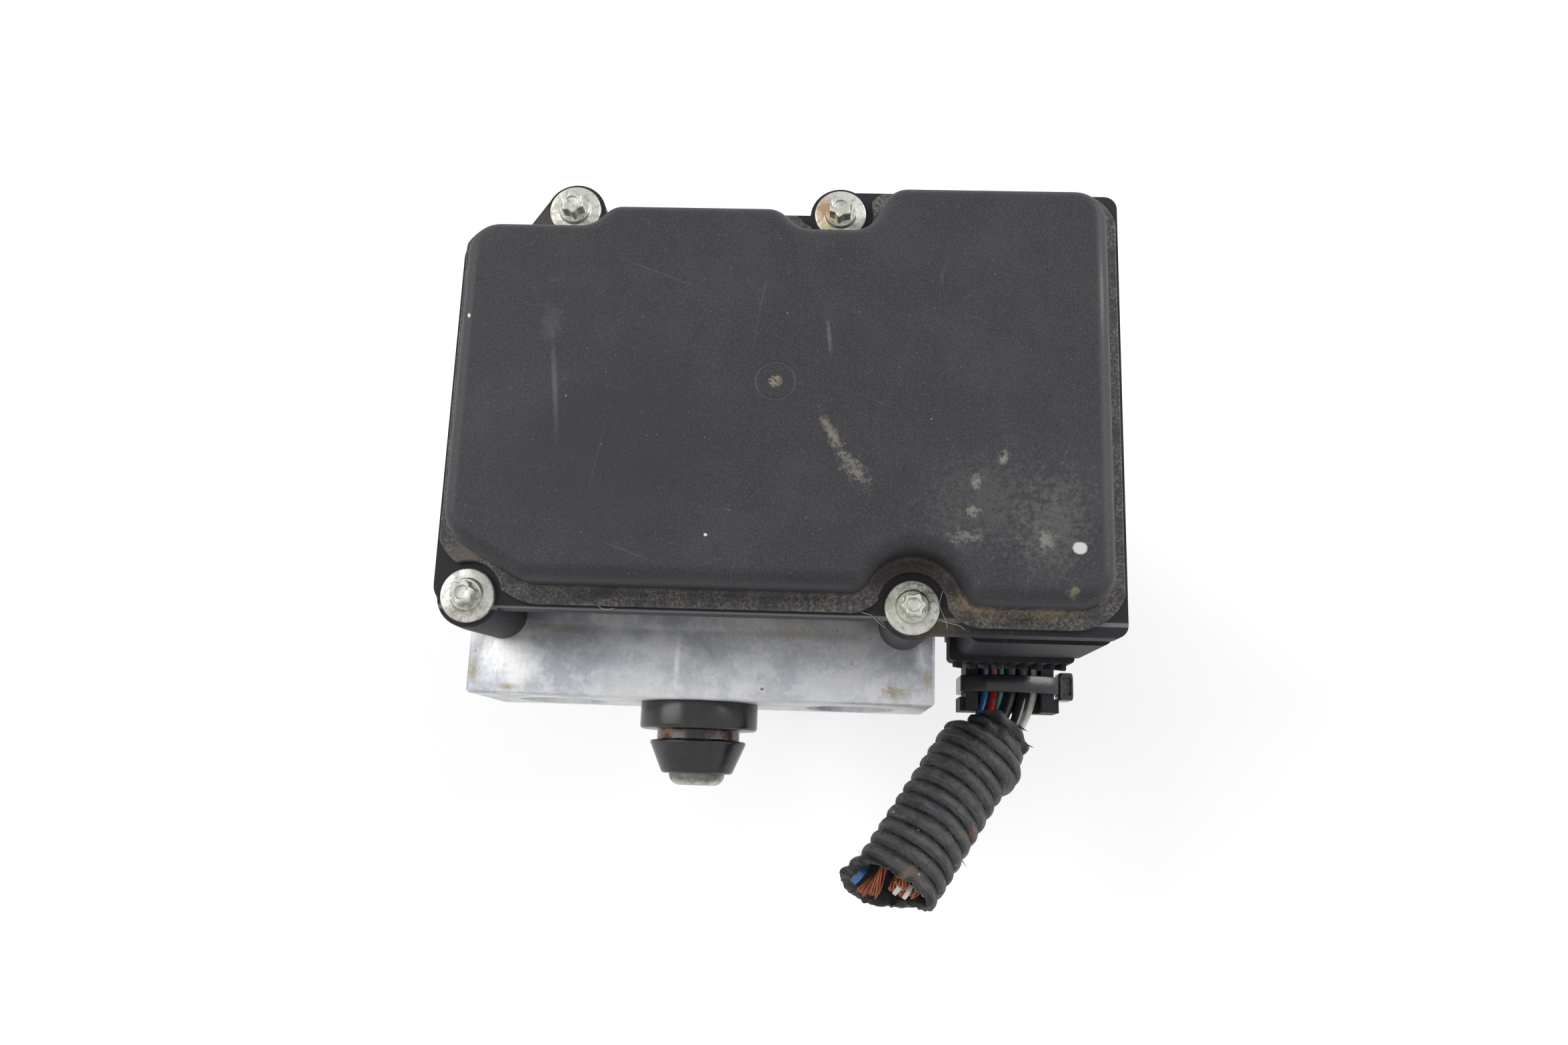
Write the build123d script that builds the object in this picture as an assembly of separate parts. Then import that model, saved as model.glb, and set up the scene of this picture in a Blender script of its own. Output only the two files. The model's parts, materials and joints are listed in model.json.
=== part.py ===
from build123d import *
import math
import os

# Anti-lock brake hydraulic unit with its electronic control unit, pump motor and cut harness plug.
# Millimetres. Z is the motor's axis. The origin is the centre of the motor's flat end, which the
# unit stands on. +X is the connector side, -Y the side of the rubber mount, +Y the wheel ports.

# ---------------------------------------------------------------------------------------------
# Driving dimensions
# ---------------------------------------------------------------------------------------------
RUNNING_FIT = 0.04          # radial clearance of a shaft or piston in its bore
SLIP_FIT = 0.25             # radial clearance of a part that is pushed in by hand
GLUE_GAP = 0.02             # bond line under a glued or pressed part

# Pump motor
MOTOR_LENGTH = 62.0
CAN_RADIUS = 32.0
CAN_WALL = 1.8
CAN_EDGE_RADIUS = 3.0
CAN_FLANGE_PROUD = 1.2      # beyond the face seal's outside
CAN_FLANGE_THICK = 2.4
EAR_RADIUS = 6.2
MOTOR_SCREW_CLEAR = 2.6     # from the face seal to the three fixing screws
MOTOR_SCREW_RADIUS = 3.0
MOTOR_SCREW_DEPTH = 9.0
MOTOR_SCREW_HEAD_RADIUS = 5.0
MOTOR_SCREW_HEAD_HEIGHT = 5.0
MOTOR_SCREW_ANGLES = (30, 150, 270)
MOTOR_SEAL_RADIUS = 32.5    # mean radius of the face seal in the block
MOTOR_SEAL_SECTION = 0.9
MAGNET_THICK = 4.6
MAGNET_OVERHANG = 4.0       # beyond each end of the core
MAGNET_ARC = 74.0           # degrees of each of the four magnets
AIR_GAP = 0.8
CORE_START = 15.0           # lower face of the laminated core
CORE_SLOTS = 12
SLOT_RADIUS = 2.5
SLOT_CIRCLE = 18.6
SLOT_MOUTH = 1.6
WINDING_BULGE = 5.0
WINDING_INNER = 8.0
WINDING_OUTER = 21.6
SHAFT_RADIUS = 4.0
COMMUTATOR_RADIUS = 9.0
COMMUTATOR_LENGTH = 10.0
COMMUTATOR_SLIT = 0.6
COMMUTATOR_GAP = 1.0        # commutator's foot above the winding
COMMUTATOR_CLEAR = 5.0      # from the commutator's top to the block
BRUSH_SIZE = 5.0
BRUSH_LENGTH = 9.0
BRUSH_HOLDER_WALL = 1.2
BRUSH_PLATE_THICK = 2.5
BRUSH_PLATE_LIFT = 2.6      # plate's upper face above the brushes' mid-height
TOWER_OFFSET = 25.4         # contact tower's distance from the motor's axis
TOWER_RADIUS = 4.3
TOWER_HEIGHT = 7.0          # above the valve face
CONTACT_WIDTH = 2.4
CONTACT_THICK = 0.8
CONTACT_PITCH = 3.6

# Bearings
REAR_BEARING_BORE = 2.5
REAR_BEARING_RADIUS = 8.0
REAR_BEARING_WIDTH = 5.0
FRONT_BEARING_BORE = 5.0
FRONT_BEARING_RADIUS = 13.0
FRONT_BEARING_WIDTH = 8.0
BEARING_RACE = 1.6          # radial thickness of a race
BEARING_SHIELD = 0.4        # how deep the shields lie

# Eccentric and pump pistons
ECCENTRICITY = 1.2
JOURNAL_RADIUS = 6.0
ECCENTRIC_RING_RADIUS = 9.0
ECCENTRIC_LENGTH = 12.0
PISTON_RADIUS = 3.25
PISTON_GUIDE_END = 24.0     # where the guide bore opens into the spring chamber
PISTON_COLLAR_RADIUS = 4.6
PISTON_COLLAR_THICK = 1.4
PISTON_TAIL = 4.0
PUMP_CLEARANCE = 0.1        # piston end to eccentric ring at outer dead centre
SPRING_CHAMBER_RADIUS = 5.6
PUMP_SPRING_WIRE = 0.45
PUMP_SPRING_RADIUS = 3.7
PUMP_SPRING_TURNS = 6
PUMP_PLUG_RADIUS = 8.0
PUMP_PLUG_LENGTH = 7.0
PUMP_PLUG_RECESS = 0.6      # plug's face below the block's side
PUMP_PLUG_SOCKET = 5.0      # across the plug's hexagon socket
PUMP_PLUG_SOCKET_DEPTH = 3.0

# Hydraulic block
BLOCK_WIDTH = 95.2
BLOCK_FRONT = 50.0
BLOCK_REAR = 48.0
BLOCK_THICK = 31.0
BLOCK_CHAMFER = 0.5
CHAMBER_DEPTH = 22.0
CHAMBER_RADIUS = 12.6
ACCUMULATOR_SPACING = 62.0
ACCUMULATOR_DROP = 18.5     # centres below the valve face
ACCUMULATOR_RADIUS = 9.6
ACCUMULATOR_DEPTH = 28.0
ACCUMULATOR_PISTON_LENGTH = 10.0
ACCUMULATOR_PISTON_WALL = 1.8
ACCUMULATOR_SEAL_SECTION = 1.0
ACCUMULATOR_SEAL_INSET = 3.0
ACCUMULATOR_CAP_THICK = 1.6
ACCUMULATOR_CAP_RECESS = 3.0
ACCUMULATOR_SPRING_WIRE = 0.75
ACCUMULATOR_SPRING_RADIUS = 5.8
ACCUMULATOR_SPRING_TURNS = 5
WHEEL_PORT_X = (-36.0, -14.0, 14.0, 36.0)
WHEEL_PORT_DROP = 12.0      # centres below the valve face
WHEEL_PORT_RADIUS = 4.46    # M10 x 1 minor
WHEEL_PORT_DEPTH = 12.0
MASTER_PORT_SPACING = 70.0
MASTER_PORT_Y = 32.5
MASTER_PORT_RADIUS = 5.46   # M12 x 1 minor
MASTER_PORT_DEPTH = 10.0
PASSAGE_RADIUS = 1.5
PASSAGE_LENGTH = 8.0        # of the cross drilling behind each ball
DRILL_POINT = 0.6           # a drill point's height over its radius
BALL_RADIUS = 2.5
BALL_SINK = 0.4             # how deep a pressed ball lies
SIDE_BALLS = ((-24.0, 12.0), (22.0, 9.0))   # y, and drop below the valve face, on both sides

# Solenoid valves
VALVE_PITCH = 20.0
VALVE_COLUMNS = 4
INLET_ROW_Y = 12.5
OUTLET_ROW_Y = -13.0
VALVE_BODY_RADIUS = 5.0
VALVE_SEAT_DEPTH = 8.0
VALVE_FILTER_BORE = 1.0
SLEEVE_RADIUS = 4.2
SLEEVE_WALL = 0.55
SLEEVE_HEIGHT = 19.0
POLE_LENGTH = 6.0
VALVE_ARMATURE_LENGTH = 9.0
VALVE_ARMATURE_FIT = 0.1
VALVE_STROKE = 0.25
VALVE_STOP_GAP = 0.1
COIL_RADIUS = 9.2
COIL_HEIGHT = 17.0
COIL_CORE_FIT = 0.3
COIL_FLANGE = 1.8
COIL_WAIST = 1.0
COIL_PIN = 0.8
COIL_PIN_SPREAD = 5.0
COIL_PIN_OFFSET = 6.5

# Rubber mount
MOUNT_X = -1.2
MOUNT_RING_RADIUS = 12.45
MOUNT_RING_LENGTH = 5.6
MOUNT_GROOVE_RADIUS = 8.75
MOUNT_GROOVE_WIDTH = 2.3
MOUNT_LIP_RADIUS = 10.2
MOUNT_LIP_LAND = 0.6
MOUNT_TIP_RADIUS = 7.4
MOUNT_TAPER_LENGTH = 6.2
STUD_RADIUS = 4.0
STUD_DEPTH = 12.0
STUD_SLEEVE_RADIUS = 5.9
STUD_END_LENGTH = 2.4
STUD_END_ROUND = 1.5

# Electronic control unit
FLANGE_RISE = 25.5          # flange's top above the valve face
FLANGE_THICK = 5.0
FLANGE_PROUD = 0.15         # beyond the block's side
FLANGE_FRONT = -36.0
FLANGE_FRONT_RIGHT = -38.5
FLANGE_REAR_LEFT = 39.3
FLANGE_REAR_MIDDLE = 43.5
FLANGE_REAR_RIGHT = 48.5
FLANGE_CORNER = 2.5
FRONT_SCREW_X = 41.0
FRONT_SCREW_Y = -34.0
REAR_SCREW_X = 26.2
REAR_SCREW_Y = 43.3
BOSS_RADIUS = 5.9
BOSS_FOOT_RADIUS = 4.9
WALL = 2.4
DECK_THICK = 2.0
COIL_BOX_HALF = 45.3
COIL_BOX_FRONT = -32.6
COIL_BOX_REAR = 38.6
COIL_BOX_CORNER = 4.0
SEAL_THICK = 1.0
DOME_HEIGHT = 10.0
DOME_LEFT_INSET = 2.95      # inside the flange
DOME_RIGHT_INSET = 3.65
DOME_FRONT = -31.9
DOME_FRONT_RIGHT = -34.0
DOME_REAR = 37.2
DOME_REAR_MIDDLE = 41.2
DOME_REAR_RIGHT = 45.7
DOME_MIDDLE_LEFT = -19.3    # raised stretch between the rear screws
DOME_MIDDLE_RIGHT = 16.5
DOME_RIGHT_START = 33.7     # middle of the step beside the rear right screw
DOME_CORNER = 6.2
DOME_STEP_RADIUS = 5.0
DOME_STEP_LEAN = 4.0        # how far the raised stretches' sides lean outwards
DOME_RECESS_BLEND = 3.6
DOME_DIAGONAL_RADIUS = 8.0
DOME_RECESS_RADIUS = 9.3    # round the front right screw
DOME_DIAGONAL_CLEAR = 7.4   # from the front left screw to the dome's diagonal wall
DOME_DIAGONAL_ANGLE = 61.3  # degrees from X of that wall's outward normal, towards -X-Y
DOME_TOP_RADIUS = 3.4
COVER_WALL = 2.2
COVER_RIM = 3.4
COVER_RIM_THICK = 1.5
COVER_RIM_INSET = 0.7       # rim's edge inside the flange's edge
COVER_SCREW_CLEAR = 6.4
GATE_X = 15.0
GATE_Y = 5.7
GATE_RING_RADIUS = 3.75
GATE_DIMPLE_RADIUS = 1.2
GATE_DEPTH = 0.35
BOARD_THICK = 1.6
BOARD_INSET = 2.6
CHIPS = (                   # plan as x from, x to, y from, y to, and the height above the board
    ((-8, 12, -12, 8), 1.6),
    ((-34, -22, -6, 6), 2.2),
    ((-32, -20, 14, 24), 2.2),
    ((50, 66, 12, 26), 7.0),
    ((50, 58, -26, -14), 3.0),
)
CAPACITOR_X = 30.0
CAPACITOR_Y = (-12.0, 2.0, 16.0)
CAPACITOR_RADIUS = 4.0
CAPACITOR_HEIGHT = 8.0

# Control unit screws
SCREW_RADIUS = 2.5
SCREW_HOLE_RADIUS = 2.75
SCREW_DEPTH = 11.0
SCREW_FLANGE_RADIUS = 5.05
SCREW_FLANGE_THICK = 1.3
SCREW_COLLAR_RADIUS = 2.9
SCREW_COLLAR_THICK = 0.7
STAR_RADIUS = 2.37
STAR_HEIGHT = 2.6
STAR_LOBES = 6
STAR_SCALLOP = 0.62
STAR_SCALLOP_CIRCLE = 2.5

# Connector socket and pins
SOCKET_BESIDE_BLOCK = 4.5
SOCKET_WIDTH = 26.9
SOCKET_INSIDE_FLANGE = 1.25
SOCKET_FRONT = -39.1
SOCKET_REAR = 30.0
SOCKET_CORNER = 2.2
SOCKET_WALL = 2.2
SOCKET_DEPTH = 25.0         # below the flange
SOCKET_FLOOR = 1.5
SOCKET_NECK = 1.8           # height of the groove under the flange
SOCKET_NECK_INSET = 0.8
PIN_SIZE = 0.64
PIN_LENGTH = 17.0           # below the socket's floor
PIN_PITCH_Y = 4.0
PIN_PITCH_X = 8.0
PIN_ROWS = 12
PIN_FIRST_Y = -18.0
BLADE_WIDTH = 4.8
BLADE_THICK = 0.8
BLADE_Y = -27.0

# Harness plug
PLUG_FLANGE_THICK = 6.5
PLUG_FLANGE_PROUD = 1.1     # beyond the socket's wall on three sides
PLUG_FLANGE_INSET = 2.4     # inside the socket's right wall
PLUG_FLANGE_CORNER = 1.0
PLUG_TOP_GAP = 4.5          # insert's top below the socket's floor
TERMINAL_CELL = 1.5
HOOD_DROP = 20.0
HOOD_WALL = 2.0
HOOD_INSET = 1.4
HOOD_RIGHT_INSET = 3.2
HOOD_CORNER = 3.0
HOOD_RIB_COUNT = 5
HOOD_RIB_WIDTH = 1.6
HOOD_RIB_PROUD = 1.3
TROUGH_LEFT_INSET = 4.3     # from the socket's side
TROUGH_RIGHT_INSET = 3.4
TROUGH_WALL = 2.7
TROUGH_END = -49.2
TROUGH_FLOOR_THICK = 4.4
TROUGH_WALL_RISE = 4.6      # above the trough's floor
TROUGH_LIP = 1.2
TROUGH_LIP_LENGTH = 3.0
TIE_WIDTH = 4.2
TIE_THICK = 1.2
TIE_CENTRE_Y = -43.4
TIE_ARCH = 3.2              # rise of the tie over the wires
TIE_HEAD = (2.8, 6.2, 6.0)

# Harness
SLEEVE_START = (61.9, -54.2, 67.8)
SLEEVE_END = (40.2, -86.6, 80.0)
LOOM_RADIUS = 9.4
LOOM_BORE = 8.0
LOOM_RIBS = 11
LOOM_RIB_DEPTH = 0.6
LOOM_MOUTH_RADIUS = 7.6
LOOM_MOUTH_LENGTH = 5.0

# ---------------------------------------------------------------------------------------------
# Levels and places that follow from them
# ---------------------------------------------------------------------------------------------
Z_BLOCK = MOTOR_LENGTH                          # motor face of the block
Z_VALVE = Z_BLOCK + BLOCK_THICK                 # valve face of the block
Z_FLANGE = Z_VALVE + FLANGE_RISE                # top of the control unit's flange
Z_DECK = Z_FLANGE - FLANGE_THICK                # underside of flange and deck
Z_BOARD = Z_DECK + DECK_THICK                   # underside of the circuit board
Z_PUMP = Z_BLOCK + BLOCK_THICK / 2              # axis of the pump pistons and of the mount
Z_COMMUTATOR = Z_BLOCK - COMMUTATOR_CLEAR - COMMUTATOR_LENGTH
CORE_LENGTH = Z_COMMUTATOR - COMMUTATOR_GAP - WINDING_BULGE - CORE_START
MAGNET_LENGTH = CORE_LENGTH + 2 * MAGNET_OVERHANG
Z_MAGNET = CORE_START - MAGNET_OVERHANG
Z_SOCKET = Z_DECK - SOCKET_DEPTH                # socket's lower rim
Z_SOCKET_FLOOR = Z_DECK - SOCKET_FLOOR
Z_HOOD_TOP = Z_SOCKET - PLUG_FLANGE_THICK
Z_HOOD = Z_HOOD_TOP - HOOD_DROP
Z_TROUGH = Z_HOOD + TROUGH_FLOOR_THICK

BLOCK_SIDE = BLOCK_WIDTH / 2
SOCKET_LEFT = BLOCK_SIDE + SOCKET_BESIDE_BLOCK
SOCKET_RIGHT = SOCKET_LEFT + SOCKET_WIDTH
TROUGH_LEFT = SOCKET_LEFT + TROUGH_LEFT_INSET
TROUGH_RIGHT = SOCKET_RIGHT - TROUGH_RIGHT_INSET
FLANGE_LEFT = -BLOCK_SIDE - FLANGE_PROUD
FLANGE_RIGHT = SOCKET_RIGHT + SOCKET_INSIDE_FLANGE
DOME_LEFT = FLANGE_LEFT + DOME_LEFT_INSET
DOME_RIGHT = FLANGE_RIGHT - DOME_RIGHT_INSET
CAN_BORE = CAN_RADIUS - CAN_WALL
CORE_RADIUS = CAN_BORE - GLUE_GAP - MAGNET_THICK - AIR_GAP
SEAL_OUTSIDE = MOTOR_SEAL_RADIUS + MOTOR_SEAL_SECTION
CAN_FLANGE_RADIUS = SEAL_OUTSIDE + CAN_FLANGE_PROUD
MOTOR_SCREW_CIRCLE = SEAL_OUTSIDE + MOTOR_SCREW_CLEAR + MOTOR_SCREW_RADIUS
SCREWS = (
    (-FRONT_SCREW_X, FRONT_SCREW_Y),
    (FRONT_SCREW_X, FRONT_SCREW_Y),
    (-REAR_SCREW_X, REAR_SCREW_Y),
    (REAR_SCREW_X, REAR_SCREW_Y),
)
VALVE_X = tuple(VALVE_PITCH * (i - (VALVE_COLUMNS - 1) / 2) for i in range(VALVE_COLUMNS))
SIDES = {"left": -1, "right": 1}


# ---------------------------------------------------------------------------------------------
# Small helpers
# ---------------------------------------------------------------------------------------------
def bar(x0, x1, y0, y1, z0, z1):
    """Block between two corners."""
    return Pos((x0 + x1) / 2, (y0 + y1) / 2, (z0 + z1) / 2) * Box(x1 - x0, y1 - y0, z1 - z0)


def rod(radius, z0, z1, x=0.0, y=0.0):
    """Upright cylinder from z0 to z1."""
    return Pos(x, y, (z0 + z1) / 2) * Cylinder(radius, z1 - z0)


def rod_x(radius, x0, x1, y=0.0, z=0.0):
    """Cylinder along X."""
    return Pos((x0 + x1) / 2, y, z) * Rot(0, 90, 0) * Cylinder(radius, abs(x1 - x0))


def rod_y(radius, y0, y1, x=0.0, z=0.0):
    """Cylinder along Y."""
    return Pos(x, (y0 + y1) / 2, z) * Rot(90, 0, 0) * Cylinder(radius, abs(y1 - y0))


def rect(x0, x1, y0, y1):
    """Flat rectangle between two corners."""
    return Pos((x0 + x1) / 2, (y0 + y1) / 2) * Rectangle(x1 - x0, y1 - y0)


def prism(sketch, z0, z1):
    """Flat outline raised from z0 to z1."""
    return Pos(0, 0, z0) * extrude(sketch, z1 - z0)


def rounded(sketch, spots):
    """Sketch with the corner nearest each (point, radius) rounded."""
    for point, radius in spots:
        corner = sketch.vertices().sort_by_distance(point)[0]
        sketch = fillet(corner, radius)
    return sketch


def turned(points):
    """Solid of revolution about Z from (radius, height) points."""
    return revolve(make_face(Plane.XZ * Polyline(*points, close=True)), Axis.Z)


def group(shapes):
    """Separate solids kept in one node."""
    return Compound(children=[solid for shape in shapes for solid in shape.solids()])


def coil_spring(radius, wire, length, turns):
    """Open compression spring along Z, from 0 to length, with its wire inside both ends."""
    rise = length - 2 * wire
    path = Pos(0, 0, wire) * Helix(rise / turns, rise, radius)
    return sweep(Plane(path @ 0, z_dir=path % 0) * Circle(wire), path)


def save(name, shape):
    """Write one node."""
    export_step(shape, f"parts/{name}.step")


# ---------------------------------------------------------------------------------------------
# Outlines of the control unit, seen from above
# ---------------------------------------------------------------------------------------------
def diagonal_cut():
    """Half-plane that gives the dome its straight wall past the front left screw."""
    reach = 60.0
    angle = math.radians(DOME_DIAGONAL_ANGLE)
    away = Vector(math.cos(angle), math.sin(angle))
    start = Vector(-FRONT_SCREW_X, FRONT_SCREW_Y) + away * DOME_DIAGONAL_CLEAR
    centre = start - away * reach / 2
    return Pos(centre.X, centre.Y) * Rot(0, 0, DOME_DIAGONAL_ANGLE) * Rectangle(reach, reach)


def dome_outline():
    """Foot of the cover's raised dome, which steps round the four screws."""
    shape = rect(DOME_LEFT, DOME_RIGHT, DOME_FRONT, DOME_REAR)
    lean = DOME_STEP_LEAN / 2
    shape += Polygon(
        (DOME_MIDDLE_LEFT - lean, DOME_REAR - 1),
        (DOME_MIDDLE_RIGHT + lean, DOME_REAR - 1),
        (DOME_MIDDLE_RIGHT + lean, DOME_REAR),
        (DOME_MIDDLE_RIGHT - lean, DOME_REAR_MIDDLE),
        (DOME_MIDDLE_LEFT + lean, DOME_REAR_MIDDLE),
        (DOME_MIDDLE_LEFT - lean, DOME_REAR),
        align=None,
    )
    shape += Polygon(
        (DOME_RIGHT_START - lean, DOME_REAR - 1),
        (DOME_RIGHT, DOME_REAR - 1),
        (DOME_RIGHT, DOME_REAR_RIGHT),
        (DOME_RIGHT_START + lean, DOME_REAR_RIGHT),
        (DOME_RIGHT_START - lean, DOME_REAR),
        align=None,
    )
    shape += rect(FRONT_SCREW_X, DOME_RIGHT, DOME_FRONT_RIGHT, 0)
    shape -= Pos(FRONT_SCREW_X, FRONT_SCREW_Y) * Circle(DOME_RECESS_RADIUS)
    shape -= diagonal_cut()
    across = math.sqrt(DOME_RECESS_RADIUS**2 - (DOME_FRONT - FRONT_SCREW_Y) ** 2)
    return rounded(
        shape,
        [
            ((DOME_LEFT, DOME_REAR), DOME_CORNER),
            ((DOME_RIGHT, DOME_REAR_RIGHT), DOME_CORNER),
            ((DOME_RIGHT, DOME_FRONT_RIGHT), DOME_CORNER),
            ((DOME_MIDDLE_LEFT - lean, DOME_REAR), DOME_STEP_RADIUS),
            ((DOME_MIDDLE_RIGHT + lean, DOME_REAR), DOME_STEP_RADIUS),
            ((DOME_RIGHT_START - lean, DOME_REAR), DOME_STEP_RADIUS),
            ((DOME_MIDDLE_LEFT + lean, DOME_REAR_MIDDLE), DOME_STEP_RADIUS),
            ((DOME_MIDDLE_RIGHT - lean, DOME_REAR_MIDDLE), DOME_STEP_RADIUS),
            ((DOME_RIGHT_START + lean, DOME_REAR_RIGHT), DOME_STEP_RADIUS),
            ((FRONT_SCREW_X - across, DOME_FRONT), DOME_RECESS_BLEND),
            ((FRONT_SCREW_X + DOME_RECESS_RADIUS, DOME_FRONT_RIGHT), DOME_RECESS_BLEND),
            ((DOME_LEFT, DOME_FRONT + DOME_DIAGONAL_RADIUS), DOME_DIAGONAL_RADIUS),
            ((DOME_LEFT + 2 * DOME_DIAGONAL_RADIUS, DOME_FRONT), DOME_DIAGONAL_RADIUS),
        ],
    )


def flange_outline():
    """Flat flange of the housing, with a round ear at each screw."""
    shape = rect(FLANGE_LEFT, FLANGE_RIGHT, FLANGE_FRONT, FLANGE_REAR_LEFT)
    shape += rect(-REAR_SCREW_X, REAR_SCREW_X, 0, FLANGE_REAR_MIDDLE)
    shape += rect(REAR_SCREW_X, FLANGE_RIGHT, 0, FLANGE_REAR_RIGHT)
    shape += rect(FRONT_SCREW_X, FLANGE_RIGHT, FLANGE_FRONT_RIGHT, 0)
    shape = rounded(
        shape,
        [
            ((FLANGE_LEFT, FLANGE_REAR_LEFT), DOME_CORNER),
            ((FLANGE_LEFT, FLANGE_FRONT), BOSS_RADIUS * 0.7),
            ((FLANGE_RIGHT, FLANGE_REAR_RIGHT), FLANGE_CORNER),
            ((FLANGE_RIGHT, FLANGE_FRONT_RIGHT), FLANGE_CORNER),
        ],
    )
    for x, y in SCREWS:
        shape += Pos(x, y) * Circle(BOSS_RADIUS)
    web = Polygon(
        (-REAR_SCREW_X, FLANGE_REAR_LEFT - 1),
        (-REAR_SCREW_X, REAR_SCREW_Y),
        (-REAR_SCREW_X - BOSS_RADIUS * 0.76, REAR_SCREW_Y + BOSS_RADIUS * 0.64),
        (-REAR_SCREW_X - BOSS_RADIUS * 1.62, FLANGE_REAR_LEFT),
        align=None,
    )
    return shape + web


# ---------------------------------------------------------------------------------------------
# Electronic control unit
# ---------------------------------------------------------------------------------------------
def coil_box(inset=0.0):
    """Plan of the wall round the eight coils, or of the space inside it."""
    width, depth = 2 * (COIL_BOX_HALF - inset), COIL_BOX_REAR - COIL_BOX_FRONT - 2 * inset
    centre = Pos(0, (COIL_BOX_FRONT + COIL_BOX_REAR) / 2)
    return centre * RectangleRounded(width, depth, COIL_BOX_CORNER - inset / 2)


def coil_space():
    """Plan of the coil box's inside, which keeps a wall's width from the screw bosses."""
    plan = coil_box(WALL)
    for x, y in SCREWS:
        plan -= Pos(x, y) * Circle(BOSS_RADIUS + WALL)
    return plan


def socket_plan(inset=0.0):
    """Plan of the connector socket's collar."""
    width = SOCKET_RIGHT - SOCKET_LEFT - 2 * inset
    depth = SOCKET_REAR - SOCKET_FRONT - 2 * inset
    radius = max(SOCKET_CORNER - inset, 0.4)
    centre = Pos((SOCKET_LEFT + SOCKET_RIGHT) / 2, (SOCKET_FRONT + SOCKET_REAR) / 2)
    return centre * RectangleRounded(width, depth, radius)


def pin_places():
    """Centres of the signal pins in the socket."""
    middle = (SOCKET_LEFT + SOCKET_RIGHT) / 2
    return [
        (middle + side * PIN_PITCH_X / 2, PIN_FIRST_Y + PIN_PITCH_Y * row)
        for side in (-1, 1)
        for row in range(PIN_ROWS)
    ]


def blade_places():
    """Centres of the two wide supply blades in the socket."""
    middle = (SOCKET_LEFT + SOCKET_RIGHT) / 2
    return [(middle + side * PIN_PITCH_X / 2, BLADE_Y) for side in (-1, 1)]


def pin(x, y, z0, z1, width=PIN_SIZE, thick=PIN_SIZE):
    """Straight contact pin."""
    return bar(x - width / 2, x + width / 2, y - thick / 2, y + thick / 2, z0, z1)


def coil_pin_places():
    """Centres of the coils' contact pins."""
    return [
        (x + side * COIL_PIN_SPREAD / 2, row + COIL_PIN_OFFSET)
        for row in (INLET_ROW_Y, OUTLET_ROW_Y)
        for x in VALVE_X
        for side in (-1, 1)
    ]


def contact_places():
    """Centres of the motor's two contact blades."""
    return [(side * CONTACT_PITCH / 2, TOWER_OFFSET) for side in (-1, 1)]


def ecu_housing():
    """Flange, deck, coil box, screw bosses and connector socket, moulded in one."""
    body = prism(flange_outline(), Z_DECK, Z_FLANGE)
    body += prism(coil_box(), Z_VALVE + SEAL_THICK, Z_DECK)
    for x, y in SCREWS:
        height = Z_DECK - Z_VALVE
        cone = Cone(BOSS_FOOT_RADIUS, BOSS_RADIUS, height)
        body += Pos(x, y, Z_VALVE + height / 2) * cone
    body += prism(socket_plan(SOCKET_NECK_INSET), Z_DECK - SOCKET_NECK, Z_DECK)
    body += prism(socket_plan(), Z_SOCKET, Z_DECK - SOCKET_NECK)
    board_space = offset(dome_outline(), -BOARD_INSET + 1)
    body -= prism(board_space, Z_BOARD, Z_FLANGE)
    body -= prism(coil_space(), Z_VALVE, Z_DECK)
    body -= prism(socket_plan(SOCKET_WALL), Z_SOCKET, Z_SOCKET_FLOOR)
    for x, y in SCREWS:
        body -= rod(SCREW_HOLE_RADIUS, Z_VALVE, Z_FLANGE, x, y)
    for x, y in pin_places():
        body -= pin(x, y, Z_SOCKET_FLOOR, Z_BOARD)
    for x, y in blade_places():
        body -= pin(x, y, Z_SOCKET_FLOOR, Z_BOARD, BLADE_WIDTH, BLADE_THICK)
    for x, y in coil_pin_places():
        body -= pin(x, y, Z_DECK, Z_BOARD, 2 * COIL_PIN, 2 * COIL_PIN)
    for x, y in contact_places():
        body -= pin(x, y, Z_DECK, Z_BOARD, CONTACT_THICK + 0.6, CONTACT_WIDTH + 0.6)
    return body


def housing_seal():
    """Flat seal between the coil box and the block, round the screw bosses."""
    plan = coil_box() - coil_space()
    for x, y in SCREWS:
        plan -= Pos(x, y) * Circle(BOSS_FOOT_RADIUS + SLIP_FIT)
    return prism(plan, Z_VALVE, Z_VALVE + SEAL_THICK)


def ecu_cover():
    """Thin moulded cover: rim, dome with rounded top edge, and the gate mark."""
    dome = prism(dome_outline(), Z_FLANGE, Z_FLANGE + DOME_HEIGHT)
    dome = fillet(dome.faces().sort_by(Axis.Z)[-1].outer_wire().edges(), DOME_TOP_RADIUS)
    rim = offset(dome_outline(), COVER_RIM) & offset(flange_outline(), -COVER_RIM_INSET)
    for x, y in SCREWS:
        rim -= Pos(x, y) * Circle(COVER_SCREW_CLEAR)
    cover = dome + prism(rim, Z_FLANGE, Z_FLANGE + COVER_RIM_THICK)
    top = Z_FLANGE + DOME_HEIGHT
    cover -= prism(offset(dome_outline(), -COVER_WALL), Z_FLANGE, top - COVER_WALL)
    ring = rod(GATE_RING_RADIUS, top - GATE_DEPTH / 2, top, GATE_X, GATE_Y)
    cover -= ring - rod(GATE_RING_RADIUS - 0.4, top - GATE_DEPTH, top, GATE_X, GATE_Y)
    return cover - rod(GATE_DIMPLE_RADIUS, top - GATE_DEPTH, top, GATE_X, GATE_Y)


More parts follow.
